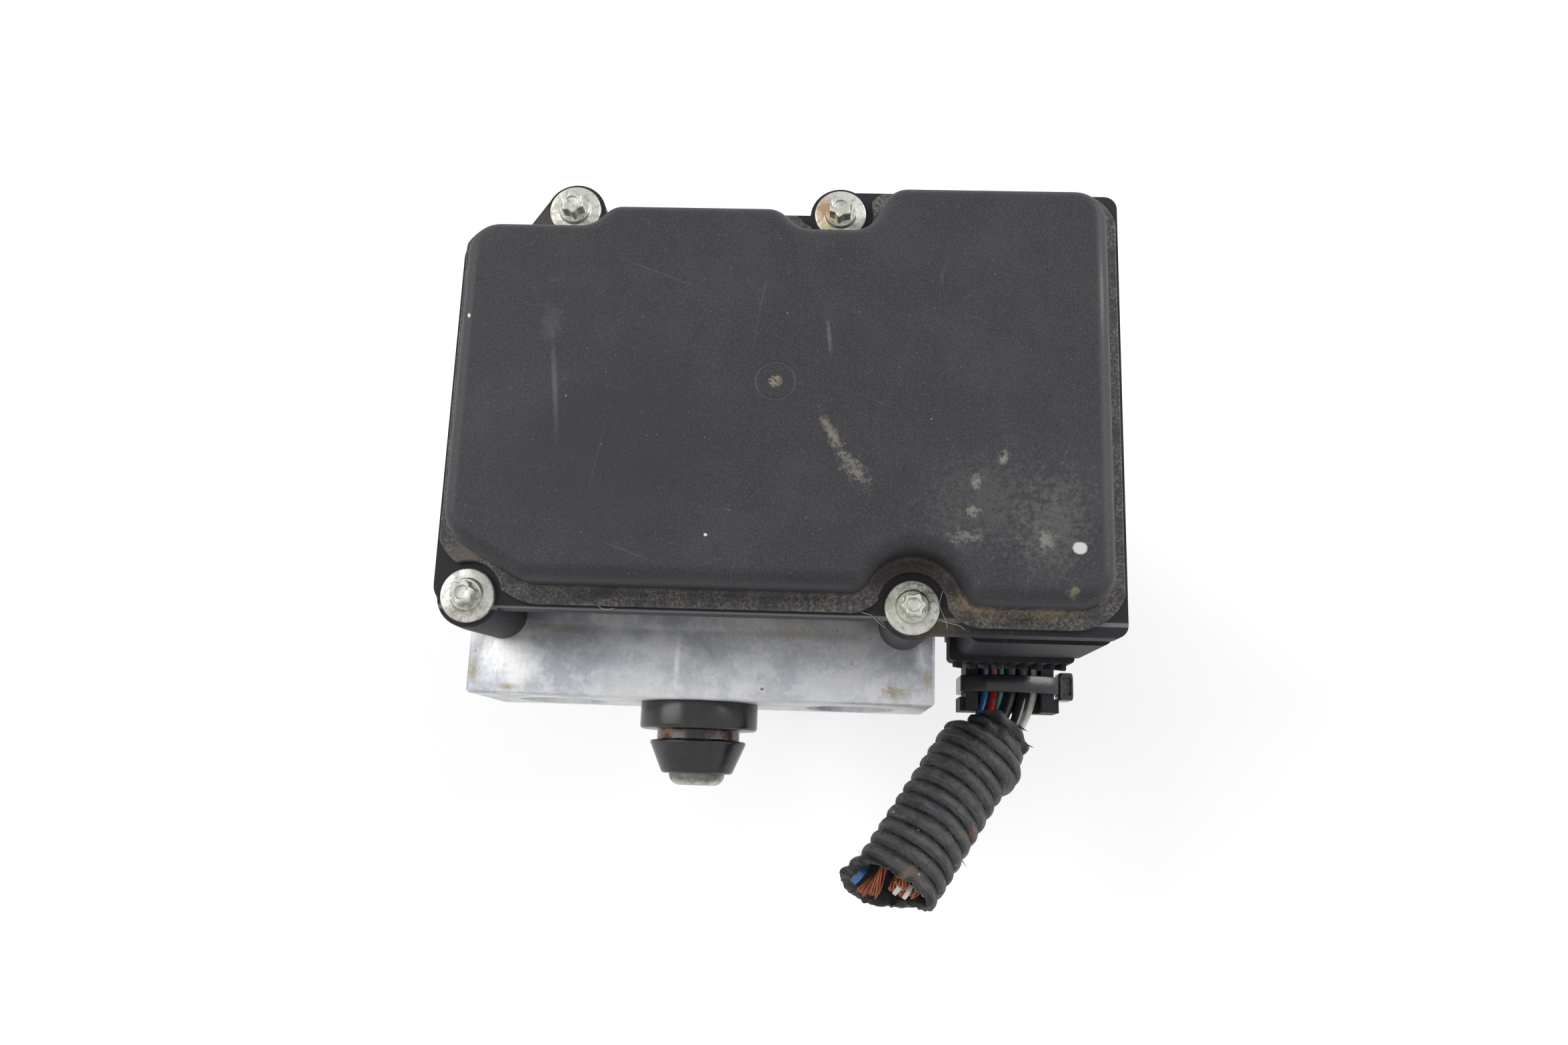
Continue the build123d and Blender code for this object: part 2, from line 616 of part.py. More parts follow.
def ecu_screw(x, y):
    """Flanged machine screw with an external star drive."""
    foot = Z_FLANGE
    collar = foot + SCREW_FLANGE_THICK
    star_foot = collar + SCREW_COLLAR_THICK
    star = Circle(STAR_RADIUS)
    for i in range(STAR_LOBES):
        star -= Rot(0, 0, 360 * i / STAR_LOBES) * Pos(STAR_SCALLOP_CIRCLE, 0) * Circle(STAR_SCALLOP)
    head = rod(SCREW_FLANGE_RADIUS, foot, collar)
    head = chamfer(head.faces().sort_by(Axis.Z)[-1].edges(), SCREW_FLANGE_THICK / 3)
    head += rod(SCREW_COLLAR_RADIUS, collar, star_foot)
    head += prism(star, star_foot, star_foot + STAR_HEIGHT)
    head += rod(SCREW_RADIUS, Z_VALVE - SCREW_DEPTH, foot)
    return Pos(x, y, 0) * head


def circuit_board():
    """Board that follows the dome's plan, lying on the deck."""
    plan = offset(dome_outline(), -BOARD_INSET)
    return prism(plan, Z_BOARD, Z_BOARD + BOARD_THICK)


def board_parts():
    """Processor, driver chips, relay and capacitors on the board."""
    top = Z_BOARD + BOARD_THICK
    pieces = [bar(*plan, top, top + height) for plan, height in CHIPS]
    pieces += [rod(CAPACITOR_RADIUS, top, top + CAPACITOR_HEIGHT, CAPACITOR_X, y) for y in CAPACITOR_Y]
    return group(pieces)


def connector_pins():
    """Signal pins and supply blades, from the board down into the socket."""
    foot = Z_SOCKET_FLOOR - PIN_LENGTH
    pins = [pin(x, y, foot, Z_BOARD) for x, y in pin_places()]
    pins += [pin(x, y, foot, Z_BOARD, BLADE_WIDTH, BLADE_THICK) for x, y in blade_places()]
    return group(pins)


# ---------------------------------------------------------------------------------------------
# Solenoid valves
# ---------------------------------------------------------------------------------------------
def valve_coil(x, y):
    """Steel-jacketed coil over a valve's sleeve, with two pins up to the board."""
    bore = SLEEVE_RADIUS + COIL_CORE_FIT
    waist = COIL_RADIUS - COIL_WAIST
    top = Z_VALVE + COIL_HEIGHT
    coil = turned(
        [
            (bore, Z_VALVE),
            (COIL_RADIUS, Z_VALVE),
            (COIL_RADIUS, Z_VALVE + COIL_FLANGE),
            (waist, Z_VALVE + COIL_FLANGE),
            (waist, top - COIL_FLANGE),
            (COIL_RADIUS, top - COIL_FLANGE),
            (COIL_RADIUS, top),
            (bore, top),
        ]
    )
    for side in (-1, 1):
        at = side * COIL_PIN_SPREAD / 2
        coil += pin(at, COIL_PIN_OFFSET, top - COIL_FLANGE, Z_BOARD, COIL_PIN, COIL_PIN)
    return Pos(x, y, 0) * coil


def valve_shell(pole_below):
    """Cartridge in the block, its sleeve and its pole piece, about the valve's own axis."""
    foot = Z_VALVE - VALVE_SEAT_DEPTH
    top = Z_VALVE + SLEEVE_HEIGHT
    inner = SLEEVE_RADIUS - SLEEVE_WALL
    shell = rod(VALVE_BODY_RADIUS, foot, Z_VALVE)
    sleeve = rod(SLEEVE_RADIUS, Z_VALVE, top)
    shell += fillet(sleeve.faces().sort_by(Axis.Z)[-1].edges(), SLEEVE_RADIUS / 2)
    low, high = valve_armature_space(pole_below)
    shell -= rod(inner, low, high)
    return shell - rod(VALVE_FILTER_BORE, foot, low)


def valve_armature_space(pole_below):
    """Lowest and highest level of the hollow that the armature moves in."""
    length = VALVE_ARMATURE_LENGTH + VALVE_STROKE + 2 * VALVE_STOP_GAP
    low = Z_VALVE + POLE_LENGTH if pole_below else Z_VALVE
    return low, low + length


def valve_armature(x, y, pole_below):
    """Steel plunger, at the end of its hollow that its spring holds it at."""
    low, high = valve_armature_space(pole_below)
    radius = SLEEVE_RADIUS - SLEEVE_WALL - VALVE_ARMATURE_FIT
    foot = high - VALVE_STOP_GAP - VALVE_ARMATURE_LENGTH if pole_below else low + VALVE_STOP_GAP
    plunger = rod(radius, foot, foot + VALVE_ARMATURE_LENGTH)
    plunger = chamfer(plunger.faces().filter_by(Axis.Z).edges(), 0.3)
    return Pos(x, y, 0) * plunger


# ---------------------------------------------------------------------------------------------
# Hydraulic block
# ---------------------------------------------------------------------------------------------
def drilled(radius, depth):
    """Blind hole up along Z from its mouth at 0, with a drill point."""
    point = radius * DRILL_POINT
    return turned([(0, 0), (radius, 0), (radius, depth), (0, depth + point)])


def wheel_port(x):
    """Tapped port that opens to the rear."""
    turn = Pos(x, BLOCK_REAR, Z_VALVE - WHEEL_PORT_DROP) * Rot(90, 0, 0)
    return turn * drilled(WHEEL_PORT_RADIUS, WHEEL_PORT_DEPTH)


def ball_bore(x, y, z):
    """Ball's seat in the block's side, and the cross drilling behind it."""
    side = math.copysign(1, x)
    outer, inner = side * BLOCK_SIDE, x - side * PASSAGE_LENGTH
    seat = rod_x(BALL_RADIUS, min(x, outer), max(x, outer), y, z) + Pos(x, y, z) * Sphere(BALL_RADIUS)
    return seat + rod_x(PASSAGE_RADIUS, min(x, inner), max(x, inner), y, z)


def accumulator_places():
    """Centres of the two accumulators: x, z."""
    return [(side * ACCUMULATOR_SPACING / 2, Z_VALVE - ACCUMULATOR_DROP) for side in (-1, 1)]


def ball_places():
    """Centres of the balls that close the cross drillings, on both sides."""
    inset = BLOCK_SIDE - BALL_RADIUS - BALL_SINK
    return [
        (side * inset, y, Z_VALVE - drop) for side in (-1, 1) for y, drop in SIDE_BALLS
    ]


def pump_bore(side):
    """Stepped bore of one pump element: guide, spring chamber and plug seat."""
    plug_end = BLOCK_SIDE - PUMP_PLUG_RECESS - PUMP_PLUG_LENGTH
    bore = rod_x(PISTON_RADIUS + RUNNING_FIT, 0, PISTON_GUIDE_END + 1, 0, Z_PUMP)
    bore += rod_x(SPRING_CHAMBER_RADIUS, PISTON_GUIDE_END, plug_end + 1, 0, Z_PUMP)
    bore += rod_x(PUMP_PLUG_RADIUS, plug_end, BLOCK_SIDE, 0, Z_PUMP)
    return bore if side > 0 else mirror(bore, Plane.YZ)


def motor_screw_places():
    """Centres of the motor's fixing screws."""
    return [
        (MOTOR_SCREW_CIRCLE * math.cos(math.radians(a)), MOTOR_SCREW_CIRCLE * math.sin(math.radians(a)))
        for a in MOTOR_SCREW_ANGLES
    ]


def hydraulic_block():
    """Machined aluminium block with every bore that the unit's pieces sit in."""
    block = bar(-BLOCK_SIDE, BLOCK_SIDE, -BLOCK_FRONT, BLOCK_REAR, Z_BLOCK, Z_VALVE)
    block = chamfer(block.edges(), BLOCK_CHAMFER)
    cuts = rod(FRONT_BEARING_RADIUS, Z_BLOCK, Z_BLOCK + FRONT_BEARING_WIDTH)
    cuts += rod(CHAMBER_RADIUS, Z_BLOCK, Z_BLOCK + CHAMBER_DEPTH)
    seal_groove = rod(SEAL_OUTSIDE, Z_BLOCK, Z_BLOCK + 1.5 * MOTOR_SEAL_SECTION)
    cuts += seal_groove - rod(MOTOR_SEAL_RADIUS - MOTOR_SEAL_SECTION, Z_BLOCK, Z_VALVE)
    cuts += rod(TOWER_RADIUS + SLIP_FIT, Z_BLOCK, Z_VALVE, 0, TOWER_OFFSET)
    block -= cuts
    for side in SIDES.values():
        block -= pump_bore(side)
    for x, z in accumulator_places():
        block -= rod_y(ACCUMULATOR_RADIUS, -BLOCK_FRONT, ACCUMULATOR_DEPTH - BLOCK_FRONT, x, z)
    for y in (INLET_ROW_Y, OUTLET_ROW_Y):
        for x in VALVE_X:
            block -= rod(VALVE_BODY_RADIUS, Z_VALVE - VALVE_SEAT_DEPTH, Z_VALVE, x, y)
    for x in WHEEL_PORT_X:
        block -= wheel_port(x)
    for side in (-1, 1):
        mouth = Pos(side * MASTER_PORT_SPACING / 2, MASTER_PORT_Y, Z_BLOCK)
        block -= mouth * drilled(MASTER_PORT_RADIUS, MASTER_PORT_DEPTH)
    for x, y in SCREWS:
        block -= rod(SCREW_RADIUS, Z_VALVE - SCREW_DEPTH, Z_VALVE, x, y)
    for x, y in motor_screw_places():
        block -= rod(MOTOR_SCREW_RADIUS, Z_BLOCK, Z_BLOCK + MOTOR_SCREW_DEPTH, x, y)
    block -= rod_y(STUD_RADIUS, -BLOCK_FRONT, STUD_DEPTH - BLOCK_FRONT, MOUNT_X, Z_PUMP)
    for place in ball_places():
        block -= ball_bore(*place)
    return block


def passage_balls():
    """Steel balls pressed into the cross drillings."""
    return group([Pos(*place) * Sphere(BALL_RADIUS) for place in ball_places()])


# ---------------------------------------------------------------------------------------------
# Pump elements and accumulators, each modelled on the right side or about its own bore
# ---------------------------------------------------------------------------------------------
def pump_levels():
    """Places along the right pump bore: piston's inner end, collar, plug's inner end."""
    inner = ECCENTRIC_RING_RADIUS + ECCENTRICITY + PUMP_CLEARANCE
    collar = PISTON_GUIDE_END + ECCENTRICITY + 0.3
    plug_end = BLOCK_SIDE - PUMP_PLUG_RECESS - PUMP_PLUG_LENGTH
    return inner, collar, plug_end


def pump_piston():
    """Right-hand piston: guide, spring collar and tail."""
    inner, collar, _ = pump_levels()
    piston = rod_x(PISTON_RADIUS, inner, collar + PISTON_COLLAR_THICK, 0, Z_PUMP)
    piston += rod_x(PISTON_COLLAR_RADIUS, collar, collar + PISTON_COLLAR_THICK, 0, Z_PUMP)
    tail = PUMP_SPRING_RADIUS - 2 * PUMP_SPRING_WIRE
    end = collar + PISTON_COLLAR_THICK + PISTON_TAIL
    return piston + rod_x(tail, collar, end, 0, Z_PUMP)


def pump_spring():
    """Right-hand return spring, between the piston's collar and the plug."""
    _, collar, plug_end = pump_levels()
    start = collar + PISTON_COLLAR_THICK
    spring = coil_spring(PUMP_SPRING_RADIUS, PUMP_SPRING_WIRE, plug_end - start, PUMP_SPRING_TURNS)
    return Pos(start, 0, Z_PUMP) * Rot(0, 90, 0) * spring


def pump_plug():
    """Right-hand pressed plug with a hexagon socket."""
    _, _, inner = pump_levels()
    outer = BLOCK_SIDE - PUMP_PLUG_RECESS
    plug = rod_x(PUMP_PLUG_RADIUS, inner, outer, 0, Z_PUMP)
    socket = RegularPolygon(PUMP_PLUG_SOCKET / 2, 6, major_radius=False)
    key = Pos(outer - PUMP_PLUG_SOCKET_DEPTH, 0, Z_PUMP) * Rot(0, 90, 0)
    return plug - key * extrude(socket, PUMP_PLUG_SOCKET_DEPTH)


def on_side(shape, side):
    """The shape, or its mirror image on the left."""
    return shape if side > 0 else mirror(shape, Plane.YZ)


def accumulator_levels():
    """Depths from the block's front: cap's outer and inner face, piston's open and closed end."""
    cap_inner = ACCUMULATOR_CAP_RECESS + ACCUMULATOR_CAP_THICK
    closed = ACCUMULATOR_DEPTH - 0.3
    return ACCUMULATOR_CAP_RECESS, cap_inner, closed - ACCUMULATOR_PISTON_LENGTH, closed


def into_block(depth):
    """Y of a depth below the block's front face."""
    return depth - BLOCK_FRONT


def accumulator_piston(x, z):
    """Cup piston with a seal groove, pushed to the bore's end by its spring."""
    _, _, opening, closed = accumulator_levels()
    radius = ACCUMULATOR_RADIUS - RUNNING_FIT
    piston = rod_y(radius, into_block(opening), into_block(closed), x, z)
    hollow = rod_y(
        radius - ACCUMULATOR_PISTON_WALL - ACCUMULATOR_SEAL_SECTION,
        into_block(opening),
        into_block(closed - 2 * ACCUMULATOR_PISTON_WALL),
        x,
        z,
    )
    return piston - hollow - seal_ring(x, z, 0.05)


def seal_ring(x, z, slack=0.0):
    """Square ring in the piston's groove, or the groove itself with some slack."""
    _, _, _, closed = accumulator_levels()
    centre = closed - ACCUMULATOR_SEAL_INSET
    half = ACCUMULATOR_SEAL_SECTION / 2 + slack
    outer = ACCUMULATOR_RADIUS - RUNNING_FIT + slack
    inner = outer - ACCUMULATOR_SEAL_SECTION - 2 * slack
    ring = rod_y(outer, into_block(centre - half), into_block(centre + half), x, z)
    return ring - rod_y(inner, into_block(centre - half), into_block(centre + half), x, z)


def accumulator_spring(x, z):
    """Spring between the cap and the piston's closed end."""
    _, cap_inner, _, closed = accumulator_levels()
    length = closed - 2 * ACCUMULATOR_PISTON_WALL - cap_inner
    spring = coil_spring(
        ACCUMULATOR_SPRING_RADIUS, ACCUMULATOR_SPRING_WIRE, length, ACCUMULATOR_SPRING_TURNS
    )
    return Pos(x, into_block(cap_inner), z) * Rot(-90, 0, 0) * spring


def accumulator_cap(x, z):
    """Dished steel cap pressed in below the block's face, with a vent hole."""
    outer, inner, _, _ = accumulator_levels()
    cap = rod_y(ACCUMULATOR_RADIUS, into_block(outer), into_block(inner), x, z)
    dish = rod_y(ACCUMULATOR_RADIUS * 0.7, into_block(outer), into_block(outer + 0.6), x, z)
    return cap - dish - rod_y(1.0, into_block(outer), into_block(inner), x, z)


# ---------------------------------------------------------------------------------------------
# Motor
# ---------------------------------------------------------------------------------------------
def motor_can():
    """Drawn steel can with a bearing collar inside and a three-eared flange."""
    can = rod(CAN_RADIUS, 0, Z_BLOCK)
    can = fillet(can.faces().sort_by(Axis.Z)[0].edges(), CAN_EDGE_RADIUS)
    plan = Circle(CAN_FLANGE_RADIUS)
    for x, y in motor_screw_places():
        reach = Pos(x, y) * Circle(EAR_RADIUS)
        plan += make_hull((Sketch() + reach + Circle(EAR_RADIUS + 2)).edges())
    can += prism(plan, Z_BLOCK - CAN_FLANGE_THICK, Z_BLOCK)
    can -= rod(CAN_BORE, CAN_WALL, Z_BLOCK)
    collar = rod(REAR_BEARING_RADIUS + CAN_WALL, CAN_WALL, CAN_WALL + REAR_BEARING_WIDTH)
    can += collar - rod(REAR_BEARING_RADIUS, CAN_WALL, CAN_WALL + REAR_BEARING_WIDTH)
    for x, y in motor_screw_places():
        can -= rod(MOTOR_SCREW_RADIUS + SLIP_FIT, 0, Z_BLOCK, x, y)
    return can


def motor_screws():
    """Three flanged hexagon screws, heads below the can's flange."""
    under = Z_BLOCK - CAN_FLANGE_THICK
    screws = []
    for x, y in motor_screw_places():
        head = RegularPolygon(MOTOR_SCREW_HEAD_RADIUS * 0.8, 6, major_radius=False)
        screw = prism(head, under - MOTOR_SCREW_HEAD_HEIGHT, under)
        screw += rod(MOTOR_SCREW_HEAD_RADIUS, under - 1.2, under)
        screw += rod(MOTOR_SCREW_RADIUS, under, Z_BLOCK + MOTOR_SCREW_DEPTH)
        screws.append(Pos(x, y, 0) * screw)
    return group(screws)


def motor_seal():
    """Face seal in the block's groove, pressed by the can's flange."""
    seal = rod(SEAL_OUTSIDE, Z_BLOCK, Z_BLOCK + 1.5 * MOTOR_SEAL_SECTION)
    return seal - rod(MOTOR_SEAL_RADIUS - MOTOR_SEAL_SECTION, Z_BLOCK, Z_VALVE)


def motor_magnets():
    """Four ferrite arcs glued in the can."""
    outer = CAN_BORE - GLUE_GAP
    ring = rod(outer, Z_MAGNET, Z_MAGNET + MAGNET_LENGTH)
    ring -= rod(outer - MAGNET_THICK, Z_MAGNET, Z_MAGNET + MAGNET_LENGTH)
    half = math.radians(MAGNET_ARC / 2)
    reach = 2 * CAN_RADIUS
    wedge = Polygon(
        (0, 0),
        (reach * math.cos(half), -reach * math.sin(half)),
        (reach * math.cos(half), reach * math.sin(half)),
        align=None,
    )
    arc = ring & prism(wedge, Z_MAGNET, Z_MAGNET + MAGNET_LENGTH)
    return group([Rot(0, 0, 45 + 90 * i) * arc for i in range(4)])


def armature_core():
    """Laminated core with slots for the winding."""
    plan = Circle(CORE_RADIUS) - Circle(SHAFT_RADIUS)
    for i in range(CORE_SLOTS):
        turn = Rot(0, 0, 360 * i / CORE_SLOTS)
        plan -= turn * Pos(SLOT_CIRCLE, 0) * Circle(SLOT_RADIUS)
        plan -= turn * rect(SLOT_CIRCLE, CORE_RADIUS + 1, -SLOT_MOUTH / 2, SLOT_MOUTH / 2)
    return prism(plan, CORE_START, CORE_START + CORE_LENGTH)


def armature_windings():
    """Copper winding: a bulge at each end, joined through the slots."""
    top = CORE_START + CORE_LENGTH
    winding = rod(WINDING_OUTER, CORE_START - WINDING_BULGE, CORE_START)
    winding += rod(WINDING_OUTER, top, top + WINDING_BULGE)
    winding = fillet(winding.edges().filter_by(GeomType.CIRCLE), WINDING_BULGE * 0.4)
    winding -= rod(WINDING_INNER, 0, Z_BLOCK)
    for i in range(CORE_SLOTS):
        angle = math.radians(360 * i / CORE_SLOTS)
        x, y = SLOT_CIRCLE * math.cos(angle), SLOT_CIRCLE * math.sin(angle)
        winding += rod(SLOT_RADIUS - 0.1, CORE_START - 1, top + 1, x, y)
    return winding


def commutator():
    """Copper bars on the shaft."""
    foot = Z_COMMUTATOR
    drum = rod(COMMUTATOR_RADIUS, foot, foot + COMMUTATOR_LENGTH)
    for i in range(CORE_SLOTS):
        slit = bar(COMMUTATOR_RADIUS - 1, COMMUTATOR_RADIUS + 1, -COMMUTATOR_SLIT / 2,
                   COMMUTATOR_SLIT / 2, foot, foot + COMMUTATOR_LENGTH)
        drum -= Rot(0, 0, 360 * i / CORE_SLOTS) * slit
    return drum - rod(SHAFT_RADIUS, foot, foot + COMMUTATOR_LENGTH)


def motor_shaft():
    """Shaft with a rear journal, a front bearing seat and the offset pump journal."""
    seat = CAN_WALL + REAR_BEARING_WIDTH
    front = Z_BLOCK + FRONT_BEARING_WIDTH
    shaft = rod(REAR_BEARING_BORE - RUNNING_FIT, CAN_WALL + 0.5, seat + 1)
    shaft += rod(SHAFT_RADIUS, seat + 0.5, Z_BLOCK - 0.5)
    shaft += rod(FRONT_BEARING_BORE - RUNNING_FIT, Z_BLOCK - 1, front + 0.5)
    end = front + 0.5 + ECCENTRIC_LENGTH + 0.5
    return shaft + rod(JOURNAL_RADIUS, front + 0.5, end, 0, -ECCENTRICITY)


def eccentric_ring():
    """Needle bearing's outer ring, which the pistons ride on."""
    foot = Z_BLOCK + FRONT_BEARING_WIDTH + 0.7
    ring = rod(ECCENTRIC_RING_RADIUS, foot, foot + ECCENTRIC_LENGTH, 0, -ECCENTRICITY)
    ring -= rod(JOURNAL_RADIUS + GLUE_GAP, foot, foot + ECCENTRIC_LENGTH, 0, -ECCENTRICITY)
    return ring


def ball_bearing(bore, radius, width, foot):
    """Deep-groove bearing: two races flush, with a sunk shield between them."""
    low, high = foot, foot + width
    return turned(
        [
            (bore, low),
            (bore + BEARING_RACE, low),
            (bore + BEARING_RACE, low + BEARING_SHIELD),
            (radius - BEARING_RACE, low + BEARING_SHIELD),
            (radius - BEARING_RACE, low),
            (radius, low),
            (radius, high),
            (radius - BEARING_RACE, high),
            (radius - BEARING_RACE, high - BEARING_SHIELD),
            (bore + BEARING_RACE, high - BEARING_SHIELD),
            (bore + BEARING_RACE, high),
            (bore, high),
        ]
    )


def rear_bearing():
    """Bearing in the can's flat end."""
    return ball_bearing(REAR_BEARING_BORE, REAR_BEARING_RADIUS, REAR_BEARING_WIDTH, CAN_WALL)


def front_bearing():
    """Bearing in the block's motor face."""
    return ball_bearing(FRONT_BEARING_BORE, FRONT_BEARING_RADIUS, FRONT_BEARING_WIDTH, Z_BLOCK)


def brush_level():
    """Height of the brushes' middle."""
    return Z_COMMUTATOR + COMMUTATOR_LENGTH / 2


def brush_box(side, grow=0.0):
    """One brush, or the space that it slides in."""
    half = BRUSH_SIZE / 2 + grow
    start = COMMUTATOR_RADIUS + RUNNING_FIT
    inner, outer = sorted((side * start, side * (start + BRUSH_LENGTH + 4 * grow)))
    return bar(inner, outer, -half, half, brush_level() - half, brush_level() + half)


def brush_plate():
    """Moulded plate with two brush holders and the contact tower."""
    top = brush_level() + BRUSH_PLATE_LIFT + BRUSH_PLATE_THICK
    foot = top - BRUSH_PLATE_THICK
    plate = rod(CAN_BORE - SLIP_FIT, foot, top)
    for side in SIDES.values():
        start = COMMUTATOR_RADIUS + 1.5
        inner, outer = sorted((side * start, side * (start + BRUSH_LENGTH + 2)))
        half = BRUSH_SIZE / 2 + BRUSH_HOLDER_WALL
        plate += bar(inner, outer, -half, half, brush_level() - half, foot + 0.5)
    plate -= rod(COMMUTATOR_RADIUS + 1.5, 0, top)
    for side in SIDES.values():
        plate -= brush_box(side, 0.05)
    plate += rod(TOWER_RADIUS, foot, Z_VALVE + TOWER_HEIGHT, 0, TOWER_OFFSET)
    for x, y in contact_places():
        plate -= pin(x, y, foot, Z_FLANGE, CONTACT_THICK, CONTACT_WIDTH)
    return plate


def carbon_brushes():
    """Two brushes that rub on the commutator."""
    return group([brush_box(side) for side in SIDES.values()])


def motor_contacts():
    """Two blades that lead from the brush plate through the block to the board."""
    foot = brush_level() + BRUSH_PLATE_LIFT
    blades = [
        pin(x, y, foot, Z_BOARD, CONTACT_THICK, CONTACT_WIDTH) for x, y in contact_places()
    ]
    return group(blades)


# ---------------------------------------------------------------------------------------------
# Rubber mount
# ---------------------------------------------------------------------------------------------
def on_front(shape):
    """Move a shape made about Z, with its foot at 0, onto the block's front face."""
    return Pos(MOUNT_X, -BLOCK_FRONT, Z_PUMP) * Rot(90, 0, 0) * shape


def mount_length():
    """Length of the rubber from the block's face to its tip."""
    return MOUNT_RING_LENGTH + MOUNT_GROOVE_WIDTH + MOUNT_LIP_LAND + MOUNT_TAPER_LENGTH


def rubber_mount():
    """Bush with a bracket groove and a tapered lead-in, about its steel sleeve."""
    groove_end = MOUNT_RING_LENGTH + MOUNT_GROOVE_WIDTH
    bush = turned(
        [
            (STUD_SLEEVE_RADIUS, 0),
            (MOUNT_RING_RADIUS, 0),
            (MOUNT_RING_RADIUS, MOUNT_RING_LENGTH),
            (MOUNT_GROOVE_RADIUS, MOUNT_RING_LENGTH),
            (MOUNT_GROOVE_RADIUS, groove_end),
            (MOUNT_LIP_RADIUS, groove_end),
            (MOUNT_LIP_RADIUS, groove_end + MOUNT_LIP_LAND),
            (MOUNT_TIP_RADIUS, mount_length()),
            (STUD_SLEEVE_RADIUS, mount_length()),
        ]
    )
    return on_front(bush)


def mount_stud():
    """Steel pin: threaded end in the block, sleeve through the rubber, rounded tip."""
    tip = mount_length() + STUD_END_LENGTH
    sleeve = rod(STUD_SLEEVE_RADIUS, 0, tip)
    sleeve = fillet(sleeve.faces().sort_by(Axis.Z)[-1].edges(), STUD_END_ROUND)
    return on_front(sleeve + rod(STUD_RADIUS, -STUD_DEPTH, 0))


# ---------------------------------------------------------------------------------------------
# Harness plug
# ---------------------------------------------------------------------------------------------
def plug_flange_plan():
    """Plan of the plug's flange, which stands proud on three sides of the collar."""
    left, right = SOCKET_LEFT - PLUG_FLANGE_PROUD, SOCKET_RIGHT - PLUG_FLANGE_INSET
    front, rear = SOCKET_FRONT - PLUG_FLANGE_PROUD, SOCKET_REAR + PLUG_FLANGE_PROUD
    centre = Pos((left + right) / 2, (front + rear) / 2)
    return centre * RectangleRounded(right - left, rear - front, PLUG_FLANGE_CORNER)


def plug_body():
    """Insert in the socket with a cell for each pin, and the flange below the collar."""
    plan = socket_plan(SOCKET_WALL + SLIP_FIT)
    top = Z_SOCKET_FLOOR - PLUG_TOP_GAP
    body = prism(plan, Z_HOOD_TOP, top)
    body += prism(plug_flange_plan(), Z_HOOD_TOP, Z_SOCKET)
    foot = Z_SOCKET_FLOOR - PIN_LENGTH - 2
    for x, y in pin_places():
        body -= pin(x, y, foot, top, TERMINAL_CELL, TERMINAL_CELL)
    for x, y in blade_places():
        body -= pin(x, y, foot, top, BLADE_WIDTH + 1, TERMINAL_CELL + 0.2)
    return body


def hood_plan(inset=0.0):
    """Plan of the hood under the plug."""
    left, right = SOCKET_LEFT + HOOD_INSET + inset, SOCKET_RIGHT - HOOD_RIGHT_INSET - inset
    depth = SOCKET_REAR - SOCKET_FRONT - 2 * (HOOD_INSET + inset)
    centre = Pos((left + right) / 2, (SOCKET_FRONT + SOCKET_REAR) / 2)
    return centre * RectangleRounded(right - left, depth, HOOD_CORNER - inset)


def plug_cover():
    """Hood that turns the wires forwards, with ribs and an open trough for the tie."""
    hood = prism(hood_plan(), Z_HOOD, Z_HOOD_TOP)
    step = (SOCKET_REAR - SOCKET_FRONT - 4 * HOOD_CORNER) / (HOOD_RIB_COUNT - 1)
    for i in range(HOOD_RIB_COUNT):
        y = SOCKET_FRONT + 2 * HOOD_CORNER + step * i
        hood += bar(SOCKET_LEFT + HOOD_INSET - HOOD_RIB_PROUD, SOCKET_RIGHT - HOOD_RIGHT_INSET + HOOD_RIB_PROUD,
                    y - HOOD_RIB_WIDTH / 2, y + HOOD_RIB_WIDTH / 2, Z_HOOD + 4, Z_HOOD_TOP)
    front = SOCKET_FRONT + HOOD_INSET
    hood += bar(TROUGH_LEFT, TROUGH_RIGHT, TROUGH_END, front + 1, Z_HOOD, Z_TROUGH + TROUGH_WALL_RISE)
    for side, x in ((-1, TROUGH_LEFT), (1, TROUGH_RIGHT)):
        inner, outer = sorted((x - side, x + side * TROUGH_LIP))
        hood += bar(inner, outer, TROUGH_END, TROUGH_END + TROUGH_LIP_LENGTH,
                    Z_HOOD, Z_TROUGH + TROUGH_WALL_RISE - 1)
    hood -= prism(hood_plan(HOOD_WALL), Z_HOOD + HOOD_WALL, Z_HOOD_TOP)
    inner_left, inner_right = TROUGH_LEFT + TROUGH_WALL, TROUGH_RIGHT - TROUGH_WALL
    hood -= bar(inner_left, inner_right, TROUGH_END, front + HOOD_WALL + 2, Z_TROUGH, Z_HOOD_TOP - 3)
    return hood


def tie_section(grow=0.0):
    """Front view of the space inside the tie: the trough with an arched top."""
    top = Z_TROUGH + TROUGH_WALL_RISE
    left, right = TROUGH_LEFT - grow, TROUGH_RIGHT + grow
    arch = ThreePointArc((right, top), ((left + right) / 2, top + TIE_ARCH + grow), (left, top))
    foot = Z_HOOD - grow
    sides = Polyline((left, top), (left, foot), (right, foot), (right, top))
    return make_face(Plane.XZ * (Curve() + [arch, sides]))


def cable_tie():
    """Nylon band round trough and wires, with its locking head on the right."""
    band = extrude(tie_section(TIE_THICK) - tie_section(), TIE_WIDTH / 2, both=True)
    width, depth, height = TIE_HEAD
    x = TROUGH_RIGHT + TIE_THICK
    z = Z_TROUGH + TROUGH_WALL_RISE - height
    head = bar(x, x + width, -depth / 2, depth / 2, z, z + height)
    return Pos(0, TIE_CENTRE_Y, 0) * (band + chamfer(head.edges().filter_by(Axis.Y), 0.6))


